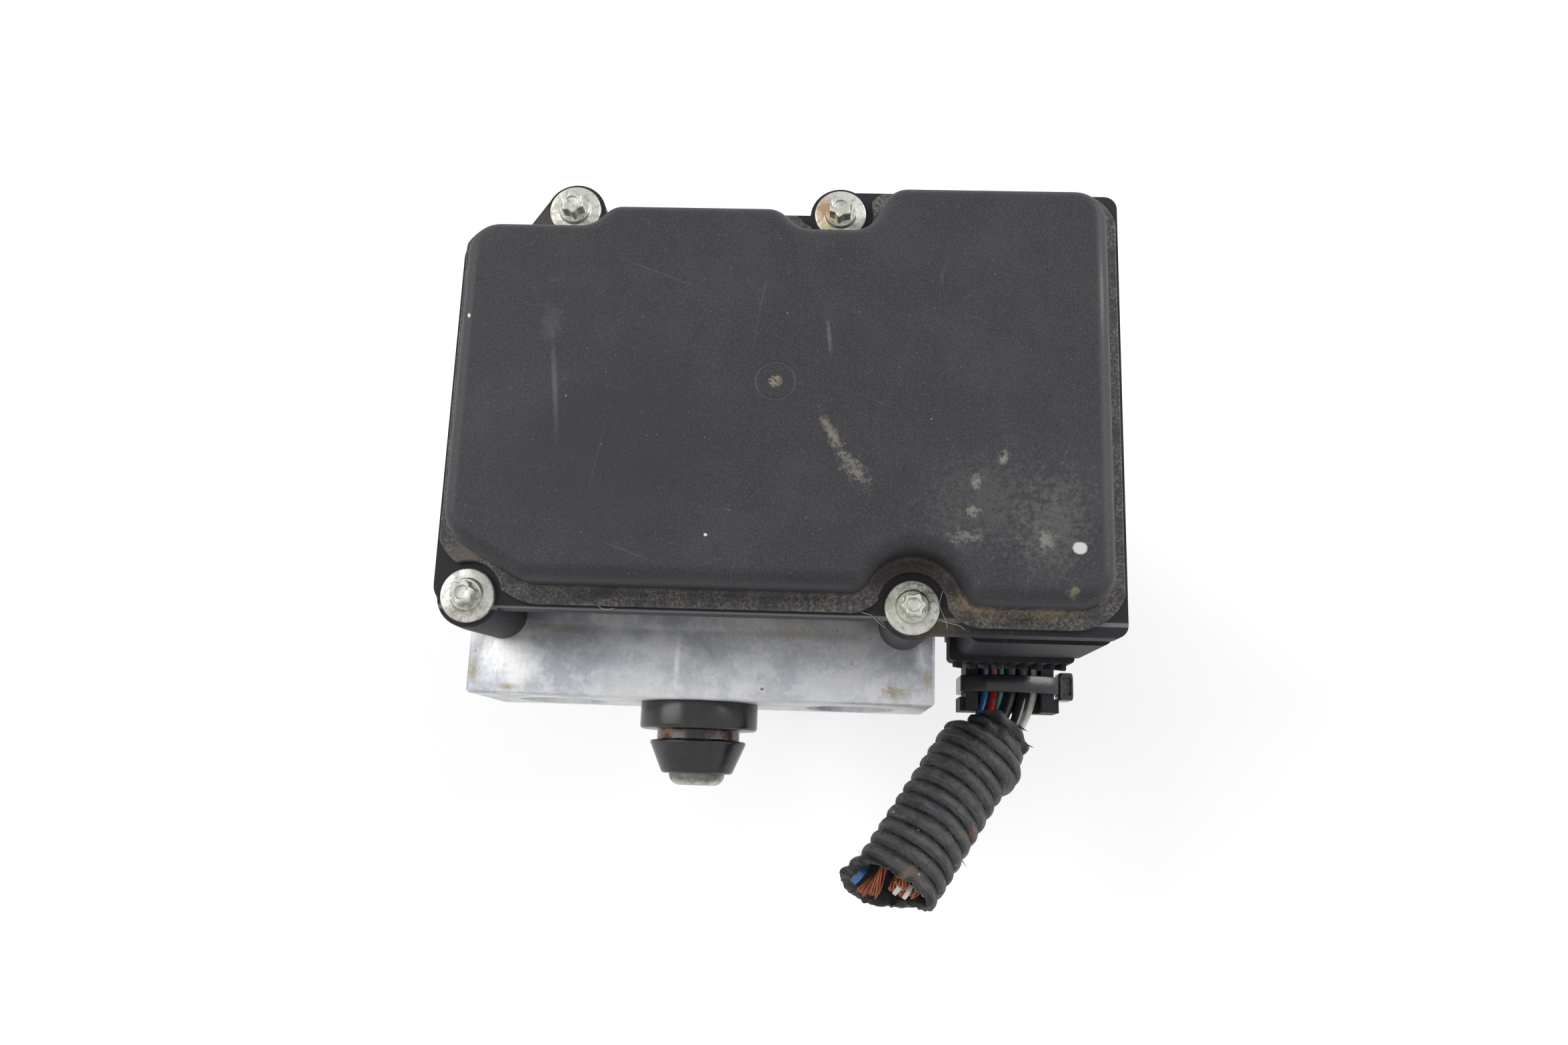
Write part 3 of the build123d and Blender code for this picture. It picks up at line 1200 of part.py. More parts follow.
# ---------------------------------------------------------------------------------------------
# Cut harness
# ---------------------------------------------------------------------------------------------
def loom_sleeve():
    """Ribbed conduit bound with tape, cut off a hand's breadth from the plug."""
    start, end = Vector(*SLEEVE_START), Vector(*SLEEVE_END)
    length = (end - start).length
    pitch = (length - LOOM_MOUTH_LENGTH) / LOOM_RIBS
    points = [(LOOM_BORE - 1.6, 0), (LOOM_MOUTH_RADIUS, 0)]
    for i in range(LOOM_RIBS):
        foot = LOOM_MOUTH_LENGTH + pitch * i
        points += [
            (LOOM_RADIUS - LOOM_RIB_DEPTH, foot),
            (LOOM_RADIUS, foot + 0.3 * pitch),
            (LOOM_RADIUS, foot + 0.7 * pitch),
        ]
    points += [(LOOM_RADIUS - LOOM_RIB_DEPTH, length), (LOOM_BORE, length), (LOOM_BORE, LOOM_MOUTH_LENGTH)]
    return Plane(start, z_dir=end - start) * turned(points)


# What every wire follows out of the plug and along the trough: y, z.
WIRE_BED = ((-26.0, 82.0), (-26.0, 76.5), (-28.5, 72.0), (-33.0, 69.2), (-40.0, 68.0), (-47.0, 67.9))

# Each wire's radius, its x in the trough, and the points that it follows inside the loom.
WIRES = {
    "blue_wire": (
        0.90, 61.0, [(57.6, -54.5, 69.8), (51.5, -63.0, 72.0), (44.5, -73.5, 75.0), (38.5, -83.0, 77.8)]
    ),
    "red_wire": (
        0.90, 62.9, [(59.5, -54.5, 72.2), (53.0, -62.6, 75.0), (45.3, -72.8, 78.0), (38.5, -82.2, 80.5)]
    ),
    "teal_wire": (
        0.70, 64.6, [(59.8, -56.0, 65.9), (54.3, -65.8, 68.7), (48.2, -76.6, 72.8), (42.5, -86.3, 76.7)]
    ),
    "left_black_wire": (
        1.30, 66.7, [(61.4, -56.8, 69.3), (55.3, -65.0, 72.6), (48.0, -75.2, 76.4), (41.7, -84.4, 80.0)]
    ),
    "right_black_wire": (
        1.30, 69.4, [(65.0, -57.0, 71.3), (58.0, -65.6, 75.3), (50.0, -75.2, 79.8), (42.8, -84.0, 83.6)]
    ),
    "white_wire": (
        0.80, 71.8, [(65.6, -58.6, 67.7), (59.0, -67.7, 71.8), (52.0, -77.6, 77.0), (45.6, -86.4, 81.6)]
    ),
}


def wire_points(name):
    """Points of one wire: out of the plug, round into the trough, and along the loom."""
    _, x, in_loom = WIRES[name]
    return [Vector(x, y, z) for y, z in WIRE_BED] + [Vector(*point) for point in in_loom]


def bend_radii(points):
    """Each corner's radius: 0.45 of its shorter run over the tangent of half its turn."""
    radii = []
    for before, here, after in zip(points, points[1:], points[2:]):
        turn = math.radians((here - before).get_angle(after - here))
        shorter = min((here - before).length, (after - here).length)
        radii.append(0.45 * shorter / math.tan(turn / 2))
    return radii


def wire(name):
    """One insulated wire swept along its route."""
    radius = WIRES[name][0]
    points = wire_points(name)
    radii = bend_radii(points)
    path = FilletPolyline(*points, radius=radii)
    print(name, "length", round(path.length, 1), "radii", [round(r, 1) for r in radii])
    tube = sweep(Plane(path @ 0, z_dir=path % 0) * Circle(radius), path)
    print("  volume ratio", round(tube.volume / (math.pi * radius**2 * path.length), 4))
    return tube


# ---------------------------------------------------------------------------------------------
# Write every node
# ---------------------------------------------------------------------------------------------
def main():
    os.makedirs("parts", exist_ok=True)
    save("hydraulic_block", hydraulic_block())
    save("passage_balls", passage_balls())
    save("ecu_housing", ecu_housing())
    save("housing_seal", housing_seal())
    save("ecu_cover", ecu_cover())
    save("ecu_screws", group([ecu_screw(x, y) for x, y in SCREWS]))
    save("circuit_board", circuit_board())
    save("board_parts", board_parts())
    save("connector_pins", connector_pins())

    for kind, row, pole_below in (("inlet", INLET_ROW_Y, True), ("outlet", OUTLET_ROW_Y, False)):
        shell = valve_shell(pole_below)
        save(f"{kind}_valves", group([Pos(x, row, 0) * shell for x in VALVE_X]))
        save(f"{kind}_coils", group([valve_coil(x, row) for x in VALVE_X]))
        for number, x in enumerate(VALVE_X, 1):
            save(f"{kind}_armature_{number}", valve_armature(x, row, pole_below))

    save("pump_plugs", group([on_side(pump_plug(), side) for side in SIDES.values()]))
    for name, side in SIDES.items():
        save(f"{name}_pump_piston", on_side(pump_piston(), side))
        save(f"{name}_pump_spring", on_side(pump_spring(), side))
    save("accumulator_caps", group([accumulator_cap(x, z) for x, z in accumulator_places()]))
    for name, (x, z) in zip(SIDES, accumulator_places()):
        save(f"{name}_accumulator_piston", accumulator_piston(x, z))
        save(f"{name}_accumulator_seal", seal_ring(x, z))
        save(f"{name}_accumulator_spring", accumulator_spring(x, z))

    save("motor_can", motor_can())
    save("motor_screws", motor_screws())
    save("motor_seal", motor_seal())
    save("motor_magnets", motor_magnets())
    save("brush_plate", brush_plate())
    save("carbon_brushes", carbon_brushes())
    save("motor_contacts", motor_contacts())
    save("rear_bearing", rear_bearing())
    save("front_bearing", front_bearing())
    save("motor_shaft", motor_shaft())
    save("eccentric_ring", eccentric_ring())
    save("armature_core", armature_core())
    save("armature_windings", armature_windings())
    save("commutator", commutator())

    save("rubber_mount", rubber_mount())
    save("mount_stud", mount_stud())
    save("plug_body", plug_body())
    save("plug_cover", plug_cover())
    save("cable_tie", cable_tie())
    save("loom_sleeve", loom_sleeve())
    for name in WIRES:
        save(name, wire(name))


main()
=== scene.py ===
"""Looks of an anti-lock brake unit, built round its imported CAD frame.

The unit stands on its pump motor. Z is the motor's axis, +X the connector side, -Y the side of the
rubber mount. Sizes in the classes are in millimetres, and every mesh is written in metres.
"""

import json
import logging
import math
from collections.abc import Callable
from dataclasses import dataclass
from enum import Enum

import bmesh
import bpy
import numpy as np
from mathutils import Matrix


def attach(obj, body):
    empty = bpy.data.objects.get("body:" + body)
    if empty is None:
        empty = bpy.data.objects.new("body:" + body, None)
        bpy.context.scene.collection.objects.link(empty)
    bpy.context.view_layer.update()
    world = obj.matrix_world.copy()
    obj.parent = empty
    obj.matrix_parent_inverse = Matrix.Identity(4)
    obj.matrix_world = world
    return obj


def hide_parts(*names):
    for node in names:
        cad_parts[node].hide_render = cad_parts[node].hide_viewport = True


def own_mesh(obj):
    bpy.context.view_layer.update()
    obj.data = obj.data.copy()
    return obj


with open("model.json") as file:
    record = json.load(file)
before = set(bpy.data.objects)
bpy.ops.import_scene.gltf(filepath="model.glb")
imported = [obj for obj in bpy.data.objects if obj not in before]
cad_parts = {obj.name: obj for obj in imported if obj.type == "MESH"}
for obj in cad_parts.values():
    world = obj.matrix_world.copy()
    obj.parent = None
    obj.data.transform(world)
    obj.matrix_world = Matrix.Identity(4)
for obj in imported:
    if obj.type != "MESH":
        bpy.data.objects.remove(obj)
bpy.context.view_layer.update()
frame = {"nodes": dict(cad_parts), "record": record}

log = logging.getLogger("brake_unit")

MM = 0.001
TAU = 2.0 * math.pi
ROOT = "unit"

Array = np.ndarray
Colour = tuple[float, float, float]
Point = tuple[float, float, float]
Flat = tuple[float, float]
Object = bpy.types.Object
Material = bpy.types.Material
Node = bpy.types.Node
Socket = bpy.types.NodeSocket

Z_FLANGE = 118.5  # top of the housing's flange, which carries the cover and its screws
Z_DOME = 128.5  # top of the cover
Z_BLOCK_TOP = 93.0
Z_PUMP = 77.5
FRONT_FACE = -50.0
SCREW_PLACES: tuple[Flat, ...] = ((-41.0, -34.0), (41.0, -34.0), (-26.2, 43.3), (26.2, 43.3))


# ---------------------------------------------------------------------------------------------
# Mesh building
# ---------------------------------------------------------------------------------------------
class Ends(Enum):
    """How a grid surface is finished at the ends of its second parameter."""

    OPEN = "open"
    CAPPED = "capped"
    JOINED = "joined"


def spokes(count: int) -> Array:
    """Column of evenly spaced angles round a circle."""
    return np.linspace(0.0, TAU, count, endpoint=False)[:, None]


def shares(count: int) -> Array:
    """Shares from 0 to 1 along a run, as the second of three dimensions."""
    return np.linspace(0.0, 1.0, count)[None, :, None]


def run_axes(first: Array, last: Array) -> tuple[Array, Array, Array]:
    """Unit directions of a run between two points: along it, level across it and up from it."""
    way = (last - first) / np.linalg.norm(last - first)
    side = np.cross(way, (0.0, 0.0, 1.0))
    side /= np.linalg.norm(side)
    return way, side, np.cross(side, way)


def placed(name: str, data: bpy.types.ID) -> Object:
    """New object with this data, linked to the scene."""
    made = bpy.data.objects.new(name, data)
    bpy.context.scene.collection.objects.link(made)
    return made


def mesh_from_arrays(name: str, points: Array, faces: list[Array]) -> Object:
    """Makes a mesh object.

    Args:
        name: Name of the object and its mesh.
        points: Vertex places, shape (n, 3), in millimetres.
        faces: Index arrays, each of shape (m, corners).

    Returns:
        The new object.
    """
    loops = np.concatenate([block.ravel() for block in faces]).astype(np.int32)
    sizes = np.concatenate([np.full(len(block), block.shape[1], np.int32) for block in faces])
    starts = np.concatenate([[0], np.cumsum(sizes)[:-1]]).astype(np.int32)
    mesh = bpy.data.meshes.new(name)
    mesh.vertices.add(len(points))
    mesh.vertices.foreach_set("co", (points * MM).astype(np.float32).ravel())
    mesh.loops.add(len(loops))
    mesh.loops.foreach_set("vertex_index", loops)
    mesh.polygons.add(len(sizes))
    mesh.polygons.foreach_set("loop_start", starts)
    mesh.polygons.foreach_set("loop_total", sizes)
    mesh.update(calc_edges=True)
    mesh.validate()
    return placed(name, mesh)


def grid_faces(rows: int, columns: int, joined: bool = False) -> Array:
    """Quads of a grid whose last row meets its first, as its last column does where joined."""
    i, j = np.arange(rows), np.arange(columns if joined else columns - 1)
    i, j = (index.ravel() for index in np.meshgrid(i, j, indexing="ij"))
    here, after_i, after_j = i * columns, (i + 1) % rows * columns, (j + 1) % columns
    return np.stack([here + j, after_i + j, after_i + after_j, here + after_j], axis=1)


def surface(
    name: str, grid: Array, ends: Ends = Ends.OPEN, crease: float = 35.0, mask: Array | None = None
) -> Object:
    """Makes a piece from a grid of points, a function of two parameters of which the first closes.

    Args:
        name: Name of the piece.
        grid: Points in millimetres, shape (rows, columns, 3).
        ends: Whether the last column stays open, gets a flat face as the first does, or meets it.
        crease: Angle in degrees above which an edge stays sharp.
        mask: Value from 0 to 1 at each point, kept as the mesh attribute "height".

    Returns:
        The smooth-shaded piece with its faces pointing outwards.
    """
    rows, columns = grid.shape[:2]
    faces = [grid_faces(rows, columns, ends is Ends.JOINED)]
    if ends is Ends.CAPPED:
        ring = np.arange(rows) * columns
        faces += [ring[::-1][None, :], (ring + columns - 1)[None, :]]
    made = mesh_from_arrays(name, grid.reshape(-1, 3), faces)
    if mask is not None:
        keep_height(made, mask)
    face_outwards(made)
    shade(made, crease)
    return made


def bundle(name: str, grids: list[Array], crease: float = 60.0) -> Object:
    """Makes one piece of many alike tubes.

    Args:
        name: Name of the piece.
        grids: Points of each tube in millimetres, shape (round it, along it, 3).
        crease: Angle in degrees above which an edge stays sharp.

    Returns:
        The smooth-shaded piece with its faces pointing outwards.
    """
    rows, columns = grids[0].shape[:2]
    one = grid_faces(rows, columns)
    points = np.concatenate([grid.reshape(-1, 3) for grid in grids])
    made = mesh_from_arrays(name, points, [one + k * rows * columns for k in range(len(grids))])
    face_outwards(made)
    shade(made, crease)
    return made


def keep_height(piece: Object, values: Array) -> None:
    """Keeps a value for each vertex as the mesh attribute "height"."""
    layer = piece.data.attributes.new("height", "FLOAT", "POINT")
    layer.data.foreach_set("value", values.astype(np.float32).ravel())


def face_outwards(piece: Object) -> None:
    """Merges points that coincide and turns the faces outwards."""
    work = bmesh.new()
    work.from_mesh(piece.data)
    bmesh.ops.remove_doubles(work, verts=work.verts, dist=1e-6)
    bmesh.ops.recalc_face_normals(work, faces=work.faces)
    work.to_mesh(piece.data)
    work.free()


def shade(piece: Object, crease: float) -> None:
    """Shades a mesh smooth, with edges sharp above the crease angle in degrees."""
    piece.data.shade_smooth()
    piece.data.set_sharp_from_angle(angle=math.radians(crease))


def turned(name: str, profile: Array, centre: Point, mask: Array | None = None) -> Object:
    """Makes a solid of revolution about an axis that runs to the front.

    Each profile point (radius, distance) becomes a ring: radius times (cos, sin) round the axis.

    Args:
        name: Name of the piece.
        profile: Radius and distance pairs in millimetres, shape (n, 2).
        centre: Foot of the axis in millimetres.
        mask: Value from 0 to 1 for each profile point, kept as the mesh attribute "height".

    Returns:
        The new piece.
    """
    angle = spokes(96)
    radius, out = profile[:, 0][None, :], profile[:, 1][None, :] + 0.0 * angle
    grid = np.stack([radius * np.cos(angle), -out, radius * np.sin(angle)], axis=-1)
    spread = None if mask is None else mask[None, :] + 0.0 * angle
    return surface(name, grid + np.array(centre), mask=spread)


def rounded_line(corners: list[Point], steps: int = 6) -> Array:
    """Rounds the corners of an open line.

    Each corner is replaced by an arc tangent to both of its runs.

    Args:
        corners: Points as (x, y, corner radius). The first and last keep their place.
        steps: Number of spans in each arc.

    Returns:
        Points of shape (n, 2).
    """
    made = [np.array(corners[0][:2], float)[None, :]]
    for (ax, ay, _), (bx, by, radius), (cx, cy, _) in zip(corners, corners[1:], corners[2:]):
        here = np.array([bx, by])
        if radius <= 0:
            made.append(here[None, :])
            continue
        before, after = np.array([ax, ay]) - here, np.array([cx, cy]) - here
        before, after = before / np.linalg.norm(before), after / np.linalg.norm(after)
        half = math.acos(max(-1.0, min(1.0, float(before @ after)))) / 2
        back = radius / math.tan(half)
        middle = (before + after) / np.linalg.norm(before + after)
        centre = here + middle * radius / math.sin(half)
        start, end = here + before * back - centre, here + after * back - centre
        turn = math.atan2(start[0] * end[1] - start[1] * end[0], float(start @ end))
        cos, sin = (f(np.linspace(0, turn, steps + 1)) for f in (np.cos, np.sin))
        arm = np.stack([start[0] * cos - start[1] * sin, start[0] * sin + start[1] * cos], axis=1)
        made.append(centre + arm)
    made.append(np.array(corners[-1][:2], float)[None, :])
    return np.concatenate(made)


def closed_line(corners: list[Point], steps: int = 10) -> Array:
    """Rounds the corners of a closed line, as rounded_line does for an open one."""
    return rounded_line([corners[-1], *corners, corners[0]], steps)[1:-1]


def box_line(x: float, y: float, radius: float) -> Array:
    """Rectangle about the origin with rounded corners, given its half sizes."""
    return closed_line([(-x, -y, radius), (x, -y, radius), (x, y, radius), (-x, y, radius)], 3)


def even_steps(line: Array, step: float) -> Array:
    """Divides a closed line of points (x, y) into even steps of about this length."""
    loop = np.concatenate([line, line[:1]])
    spans = np.linalg.norm(np.diff(loop, axis=0), axis=1)
    along = np.concatenate([[0.0], np.cumsum(spans)])
    count = max(8, round(along[-1] / step))
    wanted = np.linspace(0.0, along[-1], count, endpoint=False)
    return np.stack([np.interp(wanted, along, loop[:, k]) for k in range(line.shape[1])], axis=1)


def outward(line: Array) -> Array:
    """Unit normals of a closed counter-clockwise line: the tangent (x, y) turned to (y, -x)."""
    tangent = np.roll(line, -1, axis=0) - np.roll(line, 1, axis=0)
    tangent /= np.linalg.norm(tangent, axis=1, keepdims=True)
    return np.stack([tangent[:, 1], -tangent[:, 0]], axis=1)


def waves(parameter: Array, seed: int, count: int, low: int, high: int) -> Array:
    """Sum of sines with whole frequencies, drawn from a seeded generator, scaled to about -1 to 1.

    Args:
        parameter: Angle in radians at each point.
        seed: Seed of the generator.
        count: Number of sines.
        low: Lowest frequency.
        high: Highest frequency.

    Returns:
        Values of the parameter's shape.
    """
    draw = np.random.default_rng(seed)
    frequencies = draw.integers(low, high + 1, count)
    phases, sizes = draw.uniform(0, TAU, count), draw.uniform(0.4, 1.0, count)
    total = sum(a * np.sin(f * parameter + p) for f, p, a in zip(frequencies, phases, sizes))
    return total / sizes.sum()


def softened(node: str, name: str, width: float, angle: float = 32.0) -> Object:
    """Copies a CAD node, merges its triangles into flat faces and rounds its sharp edges.

    Args:
        node: CAD node to copy.
        name: Name of the new piece.
        width: Width of the rounding in millimetres.
        angle: Edges that turn by more than this many degrees are rounded.

    Returns:
        The new piece, not yet dressed.
    """
    mesh = frame["nodes"][node].data.copy()
    mesh.name = name
    piece = placed(name, mesh)
    work = bmesh.new()
    work.from_mesh(mesh)
    bmesh.ops.remove_doubles(work, verts=work.verts, dist=2e-6)
    bmesh.ops.dissolve_limit(work, angle_limit=math.radians(0.5), verts=work.verts, edges=work.edges)
    work.to_mesh(mesh)
    work.free()
    shade(piece, angle)
    bevel = piece.modifiers.new("soft_edges", "BEVEL")
    bevel.width = width * MM
    bevel.segments = 2
    bevel.limit_method = "ANGLE"
    bevel.angle_limit = math.radians(angle)
    bevel.use_clamp_overlap = True
    bevel.harden_normals = True
    return piece


# ---------------------------------------------------------------------------------------------
# Shader nodes
# ---------------------------------------------------------------------------------------------
class Wiring:
    """Short way to add and join the nodes of one shader tree."""

    def __init__(self, tree: bpy.types.NodeTree) -> None:
        """Starts on an empty tree."""
        self.tree = tree
        tree.nodes.clear()

    def add(self, kind: str, inputs: dict | None = None, **settings: object) -> Node:
        """Adds one node.

        Args:
            kind: Blender's type name for the node, less its common start.
            inputs: Input names or numbers, each with a value or the socket that feeds it.
            **settings: Attributes of the node.

        Returns:
            The new node.
        """
        node = self.tree.nodes.new(kind if kind.startswith("NodeGroup") else f"ShaderNode{kind}")
        for key, value in settings.items():
            setattr(node, key, value)
        for key, value in (inputs or {}).items():
            self.feed(node.inputs[key], value)
        return node

    def feed(self, socket: Socket, value: object) -> None:
        """Joins a socket to another, or sets its value."""
        if isinstance(value, bpy.types.NodeSocket):
            self.tree.links.new(value, socket)
        elif socket.type == "RGBA" and len(value) == 3:
            socket.default_value = (*value, 1.0)
        else:
            socket.default_value = value

    def math(self, operation: str, first: object, second: object = 0.0, clamp: bool = False) -> Socket:
        """Output of a Math node."""
        node = self.add("Math", {0: first, 1: second}, operation=operation, use_clamp=clamp)
        return node.outputs[0]

    def times(self, first: object, second: object) -> Socket:
        """Product of two numbers."""
        return self.math("MULTIPLY", first, second)

    def vector(self, operation: str, first: object, second: object = None) -> Node:
        """Vector Math node."""
        inputs = {0: first} if second is None else {0: first, 1: second}
        return self.add("VectorMath", inputs, operation=operation)

    def mix(self, factor: object, first: object, second: object) -> Socket:
        """Colour between two colours."""
        return self.add("Mix", {0: factor, 6: first, 7: second}, data_type="RGBA").outputs[2]

    def blend(self, factor: object, first: object, second: object) -> Socket:
        """Number between two numbers."""
        return self.add("Mix", {0: factor, 2: first, 3: second}, data_type="FLOAT").outputs[0]

    def fit(self, value: object, low: object, high: object, start: float = 0.0, end: float = 1.0) -> Socket:
        """Smooth step from start to end as a value goes from one level to the other."""
        inputs = {"Value": value, "From Min": low, "From Max": high, "To Min": start, "To Max": end}
        return self.add("MapRange", inputs, interpolation_type="SMOOTHSTEP").outputs[0]

    def noise(
        self, vector: object, scale: float, detail: float = 3.0, rough: float = 0.5, twist: float = 0.0
    ) -> Socket:
        """Noise from 0 to 1 with features about 1/scale metres wide."""
        inputs = {"Vector": vector, "Scale": scale, "Detail": detail, "Roughness": rough, "Distortion": twist}
        return self.add("TexNoise", inputs).outputs["Fac"]

    def clouds(self, vector: object, look: tuple[float, ...], low: float, high: float, end: float = 1.0) -> Socket:
        """Patches of noise: 0 below one level, up to the end value above the other."""
        return self.fit(self.noise(vector, *look), low, high, 0.0, end)

    def group(self, tree: bpy.types.NodeTree, inputs: dict) -> Socket:
        """First output of a shared node group, whose tree is set before its inputs."""
        return self.add("Group", inputs, node_tree=tree).outputs[0]

    def part_of(self, vector: Socket, axis: str) -> Socket:
        """One coordinate of a vector."""
        return self.add("SeparateXYZ", {0: vector}).outputs[axis]

    def level(self, vector: Socket, axis: str, low: float, high: float) -> Socket:
        """Mask that rises from 0 to 1 between two places along an axis, in millimetres."""
        return self.fit(self.part_of(vector, axis), low * MM, high * MM)

    def height(self) -> Socket:
        """The mesh attribute "height"."""
        return self.add("Attribute", attribute_name="height").outputs["Fac"]

    def paint(self, shader: Node, colour: object, rough: object, *layers: tuple[Socket, float]) -> None:
        """Feeds colour, roughness and stacked bumps to a shader.

        Args:
            shader: The Principled shader.
            colour: Its base colour.
            rough: Its roughness.
            *layers: Bumps, each a height from 0 to 1 and its depth in millimetres.
        """
        self.feed(shader.inputs["Base Color"], colour)
        self.feed(shader.inputs["Roughness"], rough)
        normal = None
        for height, depth in layers:
            inputs = {"Strength": 1.0, "Distance": depth * MM, "Height": height}
            if normal is not None:
                inputs["Normal"] = normal
            normal = self.add("Bump", inputs).outputs[0]
        self.feed(shader.inputs["Normal"], normal)


@dataclass(frozen=True)
class Effect:
    """Shared shader node group with one output.

    Attributes:
        name: Name of the group.
        build: Makes the output from the wiring and the group's input sockets by name.
        inputs: Names and defaults of its inputs. A tuple stands for a vector.
    """

    name: str
    build: Callable[[Wiring, dict[str, Socket]], Socket]
    inputs: tuple[tuple[str, float | Point | None], ...] = ()

    def tree(self) -> bpy.types.NodeTree:
        """The group's node tree, made on its first use."""
        found = bpy.data.node_groups.get(self.name)
        if found is not None:
            return found
        tree = bpy.data.node_groups.new(self.name, "ShaderNodeTree")
        wiring = Wiring(tree)
        inputs = (("Vector", None), *self.inputs)
        for name, default in inputs:
            kind = "NodeSocketFloat" if isinstance(default, float) else "NodeSocketVector"
            socket = tree.interface.new_socket(name, in_out="INPUT", socket_type=kind)
            if default is not None:
                socket.default_value = default
        tree.interface.new_socket("Mask", in_out="OUTPUT", socket_type="NodeSocketFloat")
        entry = wiring.add("NodeGroupInput")
        made = self.build(wiring, {name: entry.outputs[name] for name, _ in inputs})
        wiring.add("NodeGroupOutput", {0: made})
        return tree


def turned_about_z(w: Wiring, vector: Socket, angle: Socket) -> Socket:
    """Vector turned about Z."""
    return w.add("VectorRotate", {"Vector": vector, "Angle": angle}, rotation_type="Z_AXIS").outputs[0]


def build_patch(w: Wiring, given: dict[str, Socket]) -> Socket:
    """Ellipsoid of stain, painted highlight or painted shade: distance in units of its radii, made ragged by noise,
    then faded.
    """
    moved = w.vector("SUBTRACT", given["Vector"], given["Centre"]).outputs[0]
    spun = turned_about_z(w, moved, given["Turn"])
    scaled = w.vector("DIVIDE", spun, given["Radii"]).outputs[0]
    length = w.vector("LENGTH", scaled).outputs["Value"]
    edge = w.math("SUBTRACT", w.noise(given["Vector"], 1100.0, 7.0, 0.76), 0.5)
    reach = w.math("ADD", length, w.times(edge, given["Ragged"]))
    return w.fit(reach, 1.0, given["Core"])


def build_specks(w: Wiring, given: dict[str, Socket]) -> Socket:
    """Grit: small dots in some of the cells of a Voronoi pattern."""
    cells = w.add("TexVoronoi", {"Vector": given["Vector"], "Scale": given["Scale"]})
    dot = w.math("LESS_THAN", cells.outputs["Distance"], given["Size"])
    chosen = w.add("SeparateColor", {0: cells.outputs["Color"]}).outputs[0]
    return w.times(dot, w.math("LESS_THAN", chosen, given["Share"]))


def build_grain(w: Wiring, given: dict[str, Socket]) -> Socket:
    """Moulded grain: fine and coarse noise added up."""
    fine = w.noise(given["Vector"], 2600.0, 2.0, 0.6)
    coarse = w.noise(given["Vector"], 700.0, 3.0, 0.5)
    return w.math("ADD", w.times(fine, 0.65), w.times(coarse, 0.35))


def build_strokes(w: Wiring, given: dict[str, Socket]) -> Socket:
    """Hairline scratches: thin bright lines of noise stretched along X after a turn."""
    spun = turned_about_z(w, given["Vector"], given["Turn"])
    bent = w.vector("MULTIPLY", spun, (14.0, 900.0, 14.0)).outputs[0]
    sharp = w.clouds(bent, (1.0, 1.0, 0.4, 0.35), 0.70, 0.74)
    return w.times(sharp, w.clouds(given["Vector"], (90.0, 2.0), 0.52, 0.66))


PATCH = Effect(
    "dirt_and_light_patch",
    build_patch,
    (("Centre", (0.0, 0.0, 0.0)), ("Radii", (0.01, 0.01, 0.01)), ("Turn", 0.0), ("Ragged", 1.0), ("Core", 0.3)),
)
SPECKS = Effect("grit_specks", build_specks, (("Scale", 900.0), ("Size", 0.2), ("Share", 0.1)))
GRAIN = Effect("moulded_grain", build_grain)
STROKES = Effect("hairline_strokes", build_strokes, (("Turn", 0.0),))


@dataclass(frozen=True)
class StainAndLightPatch:
    """One patch of dirt, wear, paint, painted highlight or painted shade on a finish.

    Attributes:
        centre: Middle of the patch in millimetres.
        radii: Its half sizes in millimetres.
        colour: Colour that it brings.
        strength: How much of that colour it brings at most.
        turn: Turn about Z in degrees.
        ragged: How far its edge wanders, in units of its radii.
        core: Share of the radii within which it is full.
    """

    centre: Point
    radii: Point
    colour: Colour
    strength: float = 0.5
    turn: float = 0.0
    ragged: float = 1.2
    core: float = 0.3

    def lay(self, w: Wiring, where: Socket, colour: object) -> Socket:
        """Colour with this patch over it."""
        inputs = {
            "Vector": where,
            "Centre": tuple(c * MM for c in self.centre),
            "Radii": tuple(r * MM for r in self.radii),
            "Turn": math.radians(-self.turn),
            "Ragged": self.ragged,
            "Core": self.core,
        }
        return w.mix(w.times(w.group(PATCH.tree(), inputs), self.strength), colour, self.colour)


def smears_and_highlights(level: float, *rows: tuple) -> tuple[StainAndLightPatch, ...]:
    """Faded patches on a level face: x, y, half sizes, colour, strength, turn and raggedness."""
    return tuple(
        StainAndLightPatch((x, y, level), (across, over, 3.0), colour, strength, turn, ragged, 0.0)
        for x, y, across, over, colour, strength, turn, ragged in rows
    )


# ---------------------------------------------------------------------------------------------
# Finishes
# ---------------------------------------------------------------------------------------------
@dataclass(frozen=True)
class Finish:
    """Material made round one Principled shader, which each kind of finish fills in."""

    name: str

    def make(self) -> Material:
        """Builds the material and hands its shader and the Object coordinates to fill_in."""
        material = bpy.data.materials.new(self.name)
        material.use_nodes = True
        w = Wiring(material.node_tree)
        shader = w.add("BsdfPrincipled")
        w.add("OutputMaterial", {"Surface": shader.outputs[0]})
        self.fill_in(w, shader, w.add("TexCoord").outputs["Object"])
        return material

    def fill_in(self, w: Wiring, shader: Node, where: Socket) -> None:
        """Fills in the shader.

        Args:
            w: Wiring of the material.
            shader: Its Principled shader.
            where: Object coordinates.
        """
        raise NotImplementedError

    def with_stains_and_light(self, w: Wiring, where: Socket, colour: Socket) -> Socket:
        """Colour with the finish's patches over it, in their order."""
        for stain in self.stains:
            colour = stain.lay(w, where, colour)
        return colour

    def gritty(self, w: Wiring, where: Socket, colour: Socket, look: Point, strength: float, grit: Colour) -> Socket:
        """Colour with specks over it, whose look is their scale, size and share of the cells."""
        inputs = {"Vector": where, **dict(zip(("Scale", "Size", "Share"), look))}
        return w.mix(w.times(w.group(SPECKS.tree(), inputs), strength), colour, grit)


